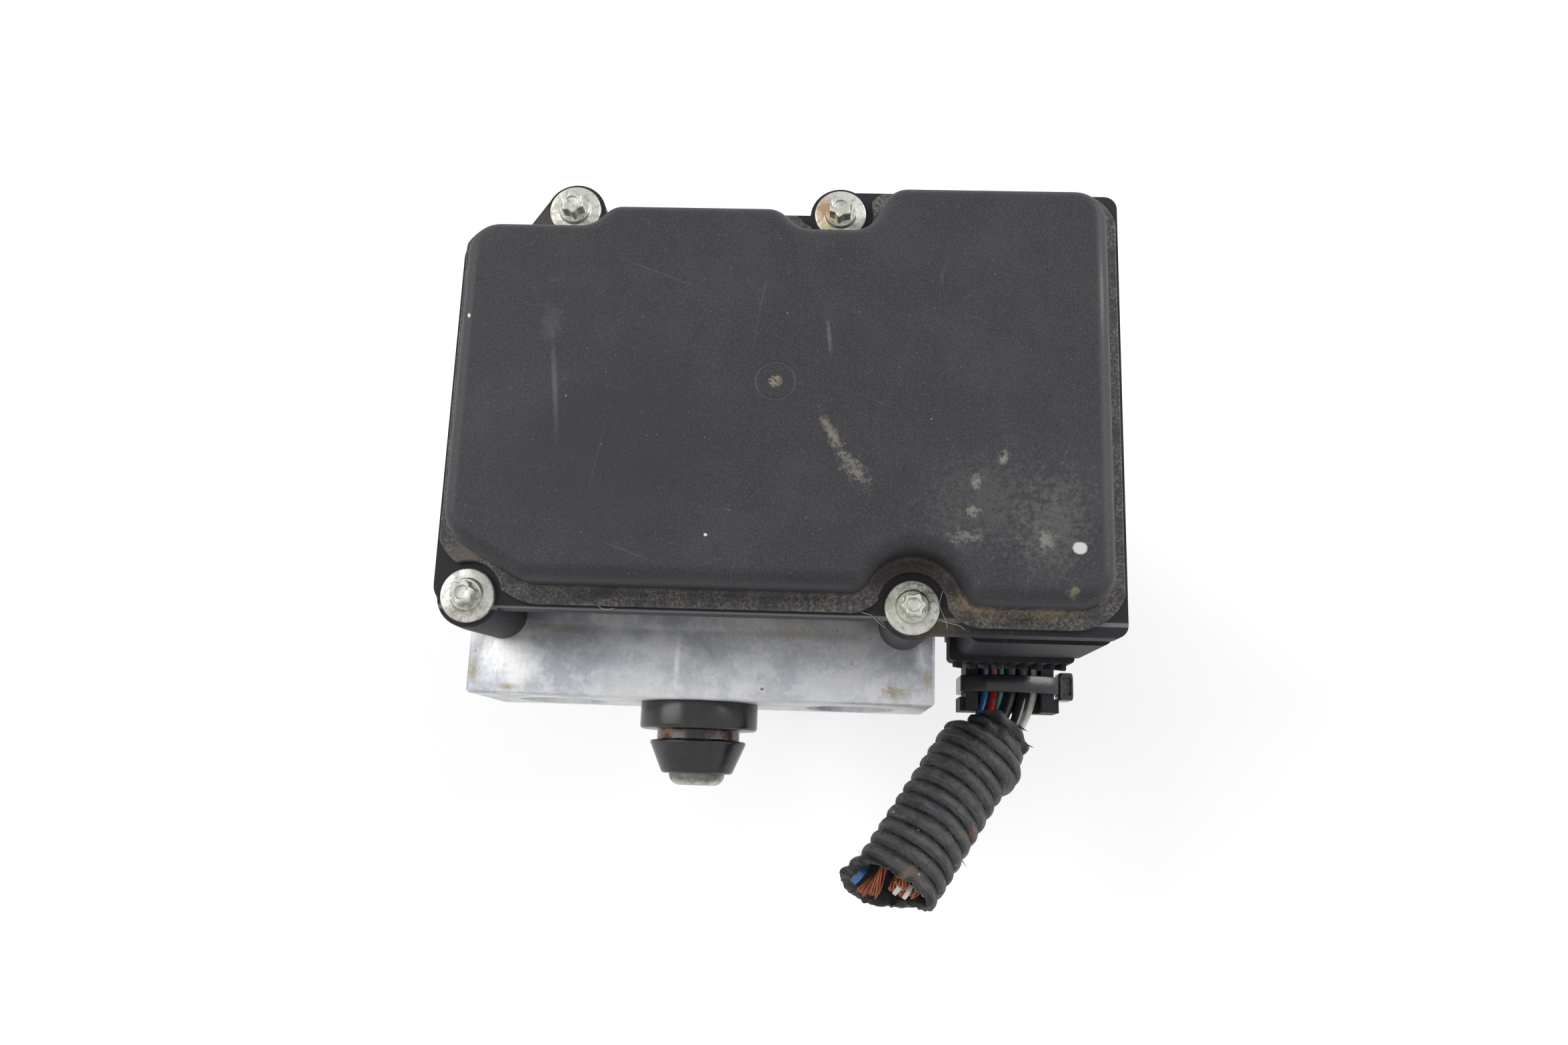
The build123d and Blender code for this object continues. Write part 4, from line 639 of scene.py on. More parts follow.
@dataclass(frozen=True)
class PlainFinish(Finish):
    """Even finish with a fine grain, for pieces that lie inside the unit."""

    colour: Colour
    roughness: float = 0.5
    metallic: float = 0.0
    grain: float = 0.01

    def fill_in(self, w: Wiring, shader: Node, where: Socket) -> None:
        """Fills in a colour that drifts a little, and fine bumps."""
        drift = w.noise(where, 160.0, 4.0)
        colour = w.mix(drift, tuple(c * 0.7 for c in self.colour), self.colour)
        rough = w.fit(drift, 0.2, 0.8, self.roughness - 0.07, self.roughness + 0.09)
        shader.inputs["Metallic"].default_value = self.metallic
        w.paint(shader, colour, rough, (w.noise(where, 3000.0), self.grain))


@dataclass(frozen=True)
class GlossyFinish(Finish):
    """Glossy plastic of wires and cable tie, a little dusty.

    Attributes:
        colour: Clean colour.
        dust: Colour of the dust.
        patches: Scale, detail and roughness of the dust's noise.
        cover: Level of the noise where the dust is full, and how full that is.
        gloss: Roughness where it is clean and where it is dusty.
        grain: Scale of its fine bumps.
    """

    colour: Colour
    dust: Colour = (0.17, 0.15, 0.13)
    patches: Point = (350.0, 5.0, 0.6)
    cover: Flat = (0.78, 0.35)
    gloss: Flat = (0.18, 0.6)
    grain: float = 900.0

    def fill_in(self, w: Wiring, shader: Node, where: Socket) -> None:
        """Fills in a smooth colour under patches of dust."""
        dust = w.clouds(where, self.patches, 0.52, *self.cover)
        colour = w.mix(dust, self.colour, self.dust)
        w.paint(shader, colour, w.blend(dust, *self.gloss), (w.noise(where, self.grain, 3.0), 0.02))


@dataclass(frozen=True)
class DustyPlastic(Finish):
    """Black moulded plastic with grit, scratches, patches of dirt and of painted shade, and a painted highlight on an
    edge.

    Attributes:
        colour: Clean colour.
        dust: Colour of the dust.
        film: How much dust lies on it all over.
        roughness: Roughness where it is clean.
        stains: Patches of dirt and wear, and of painted shade.
        shelf: Levels in millimetres between which dust has gathered, or None.
        gate: Centre of the round gate mark in millimetres, or None.
        edge: Y and Z in millimetres of a front edge that gets a painted highlight, or None.
        specular: Strength of its plain reflection.
    """

    colour: Colour = (0.0165, 0.0155, 0.0205)
    dust: Colour = (0.175, 0.17, 0.172)
    film: float = 0.10
    roughness: float = 0.55
    stains: tuple[StainAndLightPatch, ...] = ()
    shelf: Flat | None = None
    gate: Flat | None = None
    edge: Flat | None = None
    specular: float = 0.36

    def fill_in(self, w: Wiring, shader: Node, where: Socket) -> None:
        """Fills in clean colour, dust film, shelf dirt, a painted edge highlight, stains and painted shade, grit,
        scratches and gate mark.
        """
        veil = w.times(w.clouds(where, (75.0, 6.0, 0.68), 0.40, 0.75), self.film * 0.5)
        salt = w.clouds(where, (3200.0, 2.0, 0.8), 0.42, 0.72, 1.6)
        film = w.math("ADD", w.times(salt, self.film), veil, clamp=True)
        colour = w.mix(film, self.colour, self.dust)
        rough = w.blend(film, self.roughness, 0.85)
        if self.shelf is not None:
            colour = self.shelf_dirt(w, where, colour, *self.shelf)
        # Painted highlight along the front edge, where one is given.
        if self.edge is not None:
            colour = self.painted_edge_highlight(w, where, colour, *self.edge)
        colour = self.with_stains_and_light(w, where, colour)
        for look, strength in (
            ((1500.0, 0.16, 0.08), 0.16), ((800.0, 0.10, 0.05), 0.25), ((300.0, 0.05, 0.05), 0.5)
        ):
            colour = self.gritty(w, where, colour, look, strength, (0.40, 0.39, 0.38))
        for turn in (0.35, 1.75):
            lines = w.group(STROKES.tree(), {"Vector": where, "Turn": turn})
            colour = w.mix(w.times(lines, 0.055), colour, (0.30, 0.30, 0.30))
        layers = [(w.group(GRAIN.tree(), {"Vector": where}), 0.035)]
        if self.gate is not None:
            mark, colour = self.gate_mark(w, where, colour)
            layers.append((mark, 0.25))
        shader.inputs["Specular IOR Level"].default_value = self.specular
        w.paint(shader, colour, rough, *layers)

    def shelf_dirt(self, w: Wiring, where: Socket, colour: Socket, low: float, high: float) -> Socket:
        """Colour with powdery dirt between two levels, thickest just above the lower one."""
        band = w.times(w.level(where, "Z", low - 0.4, low), w.level(where, "Z", high, low))
        patchy = w.fit(w.noise(where, 260.0, 6.0, 0.72), 0.36, 0.62, 0.10, 1.0)
        powder = w.fit(w.noise(where, 1700.0, 3.0, 0.7), 0.42, 0.60, 0.10, 0.9)
        return w.mix(w.times(powder, w.times(band, patchy)), colour, (0.26, 0.235, 0.195))

    def painted_edge_highlight(self, w: Wiring, where: Socket, colour: Socket, y: float, z: float) -> Socket:
        """Colour with a painted highlight along a front edge."""
        highlight_mask = w.times(w.level(where, "Z", z - 0.5, z - 0.15), w.level(where, "Y", y + 0.5, y + 0.15))
        highlight_mask = w.times(highlight_mask, w.level(where, "Y", y - 0.6, y - 0.3))
        return w.mix(w.times(highlight_mask, 0.6), colour, (0.26, 0.265, 0.27))

    def from_gate(self, w: Wiring, where: Socket) -> Socket:
        """Distance in millimetres from the gate mark's centre."""
        x, y = self.gate
        flat = w.vector("SUBTRACT", where, (x * MM, y * MM, 0.0)).outputs[0]
        level = w.vector("MULTIPLY", flat, (1000.0, 1000.0, 0.0)).outputs[0]
        return w.vector("LENGTH", level).outputs["Value"]

    def gate_mark(self, w: Wiring, where: Socket, colour: Socket) -> tuple[Socket, Socket]:
        """Height and colour of the gate mark: a thin ring groove about a dimple full of crumbs."""
        radius = self.from_gate(w, where)
        off_ring = w.math("ABSOLUTE", w.math("SUBTRACT", radius, 3.6))
        mark = w.math("MINIMUM", w.fit(off_ring, 0.04, 0.24), w.fit(radius, 0.9, 1.4))
        colour = w.mix(w.times(w.math("SUBTRACT", 1.0, mark), 0.5), colour, (0.11, 0.105, 0.11))
        crumbs = w.clouds(where, (2600.0, 3.0, 0.8), 0.40, 0.60)
        dot = w.fit(self.from_gate(w, where), 1.4, 1.0)
        return mark, w.mix(dot, colour, w.mix(crumbs, (0.012, 0.010, 0.008), (0.27, 0.23, 0.17)))


@dataclass(frozen=True)
class MilledAluminium(Finish):
    """Milled and blasted aluminium with tool rows, tan stains, and painted light and shade."""

    stains: tuple[StainAndLightPatch, ...] = ()

    def fill_in(self, w: Wiring, shader: Node, where: Socket) -> None:
        """Fills in pale metal with painted light and shade from left to right, cutter rows across the faces, cloudy
        oxide, stains, a painted highlight and pits.
        """
        look = {"Vector": where, "Scale": 260.0, "Distortion": 2.5, "Detail": 2.0, "Detail Scale": 1.4}
        rows = w.add("TexWave", look, bands_direction="X").outputs["Fac"]
        cloud = w.noise(where, 70.0, 5.0, 0.6)
        colour = w.mix(w.fit(cloud, 0.40, 0.60), (0.44, 0.465, 0.51), (0.80, 0.80, 0.79))
        # Painted light and shade: from x -34 to -22 and from x 18 to 34 the metal is pulled darker, so its left end
        # stays lit and its right end is shaded.
        colour = w.mix(w.times(w.level(where, "X", -34.0, -22.0), 0.45), colour, (0.52, 0.54, 0.58))
        colour = w.mix(w.times(w.level(where, "X", 18.0, 34.0), 0.20), colour, (0.46, 0.465, 0.50))
        haze = w.clouds(where, (260.0, 8.0, 0.78, 0.3), 0.46, 0.60, 0.48)
        colour = w.mix(haze, colour, (0.80, 0.80, 0.81))
        colour = w.mix(w.times(rows, 0.04), colour, (0.50, 0.50, 0.50))
        colour = self.with_stains_and_light(w, where, colour)
        colour = self.gritty(w, where, colour, (650.0, 0.14, 0.06), 0.6, (0.20, 0.17, 0.14))
        shader.inputs["Metallic"].default_value = 0.6
        rough = w.fit(cloud, 0.3, 0.7, 0.42, 0.55)
        w.paint(shader, colour, rough, (rows, 0.004), (w.noise(where, 1800.0, 3.0), 0.014))


@dataclass(frozen=True)
class WornSteel(Finish):
    """Dull zinc-plated steel with white oxide, grime and rust.

    Attributes:
        colour: Colour of the plating.
        oxide: Colour of the dull film on it.
        roughness: Roughness of the plating.
        stains: Patches of dirt and rust.
        grime: How much dirt lies on it all over.
    """

    colour: Colour = (0.58, 0.58, 0.55)
    oxide: Colour = (0.44, 0.45, 0.39)
    roughness: float = 0.38
    stains: tuple[StainAndLightPatch, ...] = ()
    grime: float = 0.6

    def fill_in(self, w: Wiring, shader: Node, where: Socket) -> None:
        """Fills in plating, dull film, grime in patches, and stains over it."""
        film = w.clouds(where, (380.0, 5.0, 0.65), 0.35, 0.65)
        grime = w.times(w.clouds(where, (900.0, 6.0, 0.75, 0.4), 0.50, 0.66), self.grime)
        colour = w.mix(grime, w.mix(film, self.colour, self.oxide), (0.16, 0.13, 0.095))
        colour = self.with_stains_and_light(w, where, colour)
        rough = w.blend(film, self.roughness, self.roughness + 0.2)
        w.feed(shader.inputs["Metallic"], w.fit(w.math("MAXIMUM", film, grime), 0.2, 1.0, 0.95, 0.45))
        w.paint(shader, colour, rough, (w.noise(where, 1500.0, 4.0, 0.6), 0.03), (film, 0.02))


@dataclass(frozen=True)
class DustyRubber(Finish):
    """Moulded black rubber with rusty dirt in its groove, thicker towards the groove's sides."""

    middle: float = -1.2

    def fill_in(self, w: Wiring, shader: Node, where: Socket) -> None:
        """Fills in black, bloomed and dusty, with the dirt where the height attribute is 0."""
        bloom = w.clouds(where, (300.0, 6.0, 0.7), 0.45, 0.8, 0.25)
        colour = w.mix(bloom, (0.009, 0.009, 0.011), (0.09, 0.088, 0.088))
        deep = w.math("SUBTRACT", 1.0, w.height())
        packed = w.times(deep, w.clouds(where, (260.0, 5.0, 0.7), 0.50, 0.66))
        off_middle = w.math("ABSOLUTE", w.math("ADD", w.part_of(where, "X"), -self.middle * MM))
        sides = w.fit(off_middle, 1.5 * MM, 6.0 * MM, 0.25, 1.0)
        colour = w.mix(w.times(packed, sides), colour, (0.25, 0.105, 0.042))
        shader.inputs["Specular IOR Level"].default_value = 0.5
        w.paint(shader, colour, w.blend(bloom, 0.25, 0.7), (w.noise(where, 900.0, 4.0, 0.6), 0.012))


@dataclass(frozen=True)
class LoomTape(Finish):
    """Woven-backed loom tape, with painted shade in its grooves and dust on its ridges.

    Attributes:
        stains: Patches of rust and mud.
        axis: Direction of the conduit.
    """

    stains: tuple[StainAndLightPatch, ...] = ()
    axis: Point = (-0.531, -0.793, 0.299)

    def fill_in(self, w: Wiring, shader: Node, where: Socket) -> None:
        """Fills in colour by the height attribute with painted shade in the grooves, rubbed dust on the ridges,
        threads, grit and painted shade in the creases.
        """
        height = w.height()
        rubbed = w.clouds(where, (420.0, 6.0, 0.68, 0.3), 0.34, 0.70)
        # Painted shade: where the height attribute is low, in the grooves between ridges, the tape goes nearly black.
        colour = w.mix(w.fit(height, 0.25, 0.8), (0.0015, 0.0015, 0.002), (0.018, 0.018, 0.026))
        ridge = w.times(w.fit(height, 0.5, 1.0), rubbed)
        colour = w.mix(w.times(ridge, 0.42), colour, (0.17, 0.16, 0.15))
        brown = w.times(w.clouds(where, (210.0, 6.0, 0.7), 0.52, 0.68), 0.5)
        colour = w.mix(brown, colour, (0.10, 0.078, 0.056))
        threads = w.fit(self.streaks(w, where), 0.50, 0.72)
        colour = w.mix(w.times(threads, 0.30), colour, (0.20, 0.195, 0.19))
        colour = self.with_stains_and_light(w, where, colour)
        colour = self.gritty(w, where, colour, (620.0, 0.15, 0.05), 0.7, (0.42, 0.41, 0.37))
        rough = w.fit(rubbed, 0.0, 1.0, 0.30, 0.75)
        crease = w.noise(where, 330.0, 6.0, 0.7, 1.2)
        # Painted shade: the hollows of the crease bump are darkened.
        colour = w.mix(w.fit(crease, 0.44, 0.30, 0.0, 0.7), colour, (0.006, 0.006, 0.007))
        thread = (self.streaks(w, where), 0.16)
        w.paint(shader, colour, rough, (crease, 0.5), thread, (w.noise(where, 1900.0, 5.0, 0.7), 0.05))

    def streaks(self, w: Wiring, where: Socket) -> Socket:
        """Noise drawn out round the conduit: fine along its axis and coarse across it."""
        along = w.vector("DOT_PRODUCT", where, self.axis).outputs["Value"]
        stretch = w.add("VectorMath", {0: self.axis, "Scale": w.times(along, 9.0)}, operation="SCALE")
        moved = w.vector("ADD", where, stretch.outputs[0]).outputs[0]
        return w.noise(moved, 160.0, 6.0, 0.7)


@dataclass(frozen=True)
class FloorPaper(Finish):
    """Matt white paper, which the camera sees a little brighter with distance."""

    colour: Colour = (0.93, 0.93, 0.925)
    near_glow: Colour = (0.13, 0.13, 0.135)
    far_glow: Colour = (0.6, 0.6, 0.6)

    def fill_in(self, w: Wiring, shader: Node, where: Socket) -> None:
        """Fills in plain white with a glow for camera rays only."""
        shader.inputs["Base Color"].default_value = (*self.colour, 1.0)
        shader.inputs["Roughness"].default_value = 0.9
        shader.inputs["Specular IOR Level"].default_value = 0.1
        seen = w.add("LightPath").outputs["Is Camera Ray"]
        away = w.vector("LENGTH", where).outputs["Value"]
        glow = w.mix(w.fit(away, 0.3, 1.5), self.near_glow, self.far_glow)
        w.feed(shader.inputs["Emission Color"], w.mix(seen, (0.0, 0.0, 0.0), glow))
        shader.inputs["Emission Strength"].default_value = 1.0


RUST = (0.30, 0.125, 0.045)
MUD = (0.14, 0.105, 0.07)
TAN = (0.38, 0.32, 0.21)
SAND = (0.27, 0.25, 0.20)
PAINT = (0.66, 0.66, 0.64)

COVER_STAINS_AND_SHADE = (
    StainAndLightPatch((41.0, -29.5, 121.0), (10.5, 8.5, 5.0), (0.03, 0.02, 0.017), 0.85, ragged=2.2),
    *smears_and_highlights(
        120.0,
        (53.5, -33.8, 9.0, 2.4, (0.27, 0.2, 0.12), 0.65, -8.0, 4.6),
        (66.0, -34.6, 7.0, 1.8, (0.27, 0.22, 0.14), 0.6, 0.0, 4.6),
    ),
    StainAndLightPatch((-40.0, -25.0, 120.0), (9.0, 3.5, 4.0), (0.17, 0.14, 0.11), 0.5, 30.0),
    *smears_and_highlights(
        Z_DOME,
        (25.4, -3.8, 5.6, 1.3, SAND, 0.55, -62.0, 3.4),
        (29.4, -10.2, 4.8, 1.9, SAND, 0.5, -52.0, 4.6),
        (53.0, -16.0, 14.0, 11.0, (0.13, 0.13, 0.125), 0.26, 25.0, 4.4),
        (65.0, -20.0, 8.0, 12.0, (0.15, 0.15, 0.145), 0.34, -20.0, 4.4),
        (51.5, -12.3, 1.0, 1.8, (0.28, 0.27, 0.22), 0.65, -10.0, 4.0),
        (50.8, -17.8, 1.8, 1.1, (0.28, 0.27, 0.21), 0.65, 0.0, 4.0),
        (56.3, -8.2, 0.9, 2.0, (0.27, 0.27, 0.24), 0.6, -20.0, 4.0),
        (63.9, -22.6, 1.8, 2.6, (0.27, 0.27, 0.23), 0.5, 20.0, 4.0),
        (49.4, -22.4, 3.6, 1.6, (0.24, 0.24, 0.21), 0.4, 0.0, 4.0),
    ),
    *smears_and_highlights(127.6, (68.4, -32.0, 1.6, 1.2, (0.22, 0.18, 0.11), 0.7, 0.0, 3.4)),
    *smears_and_highlights(
        Z_DOME,
        (-25.4, 3.0, 0.8, 12.5, (0.16, 0.165, 0.17), 0.5, 6.0, 1.6),
        (-27.0, 16.0, 3.0, 5.0, (0.1, 0.105, 0.11), 0.3, 0.0, 3.6),
    ),
    StainAndLightPatch((-42.6, 17.3, 128.0), (0.4, 0.55, 2.0), PAINT, 1.0, 20.0, 0.6, core=0.5),
    StainAndLightPatch((3.5, -23.3, Z_DOME), (0.4, 0.35, 2.0), PAINT, 1.0, ragged=0.6, core=0.5),
    StainAndLightPatch((69.6, -24.0, Z_DOME), (1.45, 1.25, 2.0), (0.52, 0.54, 0.53), 1.0, ragged=0.6, core=0.7),
    *smears_and_highlights(128.0, (74.6, 24.0, 0.5, 12.0, (0.19, 0.185, 0.17), 0.5, 0.0, 1.8)),
    *smears_and_highlights(Z_DOME, (24.6, 14.5, 0.6, 5.0, (0.16, 0.16, 0.17), 0.45, 6.0, 1.8)),
    # Painted shade: the middle of the dome's top is darkened.
    StainAndLightPatch((-15.0, -8.0, Z_DOME), (28.0, 22.0, 3.0), (0.014, 0.014, 0.016), 0.5, 20.0, 1.5),
)
HOUSING_STAINS = (
    StainAndLightPatch((44.0, -37.0, 117.0), (9.0, 4.0, 5.0), MUD, 0.5),
    StainAndLightPatch((-30.0, 41.0, 117.0), (8.0, 5.0, 5.0), (0.17, 0.145, 0.115), 0.5),
)
BLOCK_STAINS_AND_HIGHLIGHT = (
    *smears_and_highlights(
        Z_BLOCK_TOP,
        (-20.0, -42.5, 17.0, 3.2, (0.36, 0.4, 0.5), 0.5, 4.0, 2.6),
        # Painted highlight: the pale patch at the block's left end.
        (-40.0, -43.0, 10.0, 7.0, (0.9, 0.9, 0.88), 0.7, 0.0, 2.0),
        (1.8, -40.2, 4.0, 0.9, (0.33, 0.35, 0.4), 0.6, -55.0, 2.0),
        (22.0, -41.0, 18.0, 4.0, (0.36, 0.38, 0.43), 0.45, -6.0, 3.4),
        (-4.7, -42.0, 0.9, 7.8, (0.95, 0.95, 0.93), 0.75, -2.0, 1.4),
        (20.0, -36.2, 22.0, 1.8, (0.42, 0.34, 0.25), 0.55, 0.0, 2.6),
        (-28.0, -36.0, 12.0, 1.6, (0.42, 0.35, 0.26), 0.5, 0.0, 2.6),
        (39.5, -47.4, 3.8, 1.9, TAN, 0.9, 0.0, 3.2),
        (46.2, -45.0, 1.7, 2.6, TAN, 0.85, 0.0, 3.2),
        (-46.3, -45.6, 1.7, 3.4, TAN, 0.85, 0.0, 3.2),
        (-39.0, -48.6, 2.4, 1.0, TAN, 0.9, 0.0, 2.6),
    ),
    StainAndLightPatch((12.8, -47.6, Z_BLOCK_TOP), (0.45, 0.4, 2.0), (0.24, 0.05, 0.035), 0.9, ragged=0.6, core=0.4),
    *smears_and_highlights(90.0, (0.0, -50.0, 48.0, 2.0, (0.42, 0.33, 0.26), 0.35, 0.0, 3.0)),
)
SCREW_STAINS = (
    StainAndLightPatch((22.8, 44.0, 119.5), (3.4, 4.4, 4.0), RUST, 0.75, ragged=2.4, core=0.0),
    StainAndLightPatch((23.5, 41.5, 119.5), (4.5, 4.5, 4.0), (0.42, 0.33, 0.14), 0.5, ragged=2.6, core=0.0),
    StainAndLightPatch((42.6, -31.6, 119.5), (4.2, 3.6, 4.0), (0.1, 0.085, 0.06), 0.85, ragged=3.6, core=0.0),
    StainAndLightPatch((38.0, -34.0, 119.5), (3.6, 5.5, 4.0), (0.36, 0.38, 0.28), 0.6, ragged=3.0, core=0.0),
    StainAndLightPatch((-41.5, -36.5, 119.5), (4.5, 3.0, 4.0), (0.16, 0.13, 0.09), 0.6, ragged=3.2, core=0.0),
    StainAndLightPatch((-1.2, -64.9, 80.0), (9.0, 2.2, 9.0), (0.085, 0.085, 0.085), 0.85, ragged=0.8, core=0.5),
)
TAPE_STAINS = (
    StainAndLightPatch((57.5, -75.0, 81.0), (2.6, 2.2, 4.0), (0.24, 0.1, 0.035), 0.8, ragged=2.4, core=0.0),
    StainAndLightPatch((46.8, -65.5, 84.0), (4.0, 2.6, 4.0), (0.085, 0.03, 0.028), 0.8, ragged=2.2, core=0.0),
    StainAndLightPatch((42.5, -83.0, 88.0), (4.4, 1.4, 4.0), (0.2, 0.11, 0.055), 0.6, 35.0, 2.4, core=0.0),
)

WIRE_COLOURS: dict[str, Colour] = {
    "blue": (0.035, 0.13, 0.34),
    "red": (0.32, 0.028, 0.022),
    "teal": (0.03, 0.20, 0.19),
    "black": (0.022, 0.022, 0.026),
    "white": (0.62, 0.60, 0.55),
}
NYLON = GlossyFinish(
    "tie_nylon",
    (0.016, 0.016, 0.021),
    dust=(0.16, 0.155, 0.15),
    patches=(420.0, 6.0, 0.7),
    cover=(0.8, 0.3),
    gloss=(0.2, 0.55),
    grain=1200.0,
)
FINISHES: dict[str, Finish] = {
    "cover_plastic": DustyPlastic(
        "cover_plastic", film=0.115, shelf=(118.9, 121.4), gate=(15.0, 5.7), stains=COVER_STAINS_AND_SHADE
    ),
    "housing_plastic": DustyPlastic(
        "housing_plastic",
        film=0.045,
        dust=(0.15, 0.135, 0.12),
        # Painted highlight along the flange's front top edge.
        edge=(-36.0, Z_FLANGE),
        specular=0.2,
        stains=HOUSING_STAINS,
    ),
    "block_metal": MilledAluminium("milled_aluminium", BLOCK_STAINS_AND_HIGHLIGHT),
    "screw_steel": WornSteel("screw_zinc", stains=SCREW_STAINS),
    "steel": WornSteel("zinc_steel", (0.55, 0.56, 0.56), (0.42, 0.42, 0.39), 0.32, grime=0.2),
    "can_steel": WornSteel("can_zinc", (0.55, 0.56, 0.57), (0.44, 0.44, 0.43), 0.30, grime=0.25),
    "bush_rubber": DustyRubber("bush_rubber"),
    "tape": LoomTape("loom_tape", TAPE_STAINS),
    "nylon": NYLON,
    "bared_strands": PlainFinish("tarnished_copper", (0.33, 0.105, 0.055), 0.5, 0.6, 0.02),
    **{f"{name}_insulation": GlossyFinish(f"{name}_insulation", colour) for name, colour in WIRE_COLOURS.items()},
    "rubber": PlainFinish("seal_rubber", (0.014, 0.014, 0.015), 0.6, grain=0.02),
    "ferrite": PlainFinish("ferrite", (0.07, 0.07, 0.075), 0.6),
    "copper": PlainFinish("copper", (0.62, 0.28, 0.16), 0.35, 1.0),
    "board": PlainFinish("board_lacquer", (0.02, 0.14, 0.06), 0.35),
    "inner_plastic": PlainFinish("inner_plastic", (0.10, 0.10, 0.11), 0.5),
    "brass": PlainFinish("brass", (0.66, 0.50, 0.24), 0.3, 1.0),
}


class Palette:
    """The unit's materials, by the record's slot or by their own name."""

    def __init__(self) -> None:
        """Makes every material once."""
        self.made = {name: finish.make() for name, finish in FINISHES.items()}

    def dress(self, piece: Object, slot: str, *replaced: str, finish: str = "") -> Object:
        """Finishes a new piece.

        Args:
            piece: The piece.
            slot: Material slot of the record that it takes its finish from.
            *replaced: CAD nodes that it stands for.
            finish: Name of its finish, where it has one of its own.

        Returns:
            The same piece.
        """
        piece.data.materials.clear()
        piece.data.materials.append(self.made[finish or slot])
        if replaced:
            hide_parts(*replaced)
        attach(piece, ROOT)
        log.info("%s: %s", piece.name, finish or slot)
        return piece

    def dress_nodes(self) -> None:
        """Gives every CAD node the material of its slot."""
        for entry in frame["record"]["subparts"]:
            node = frame["nodes"][entry["node"]]
            material = self.made.get(entry["material_slot"], self.made["inner_plastic"])
            for slot in node.material_slots:
                slot.material = material
            if not node.material_slots:
                node.data.materials.append(material)


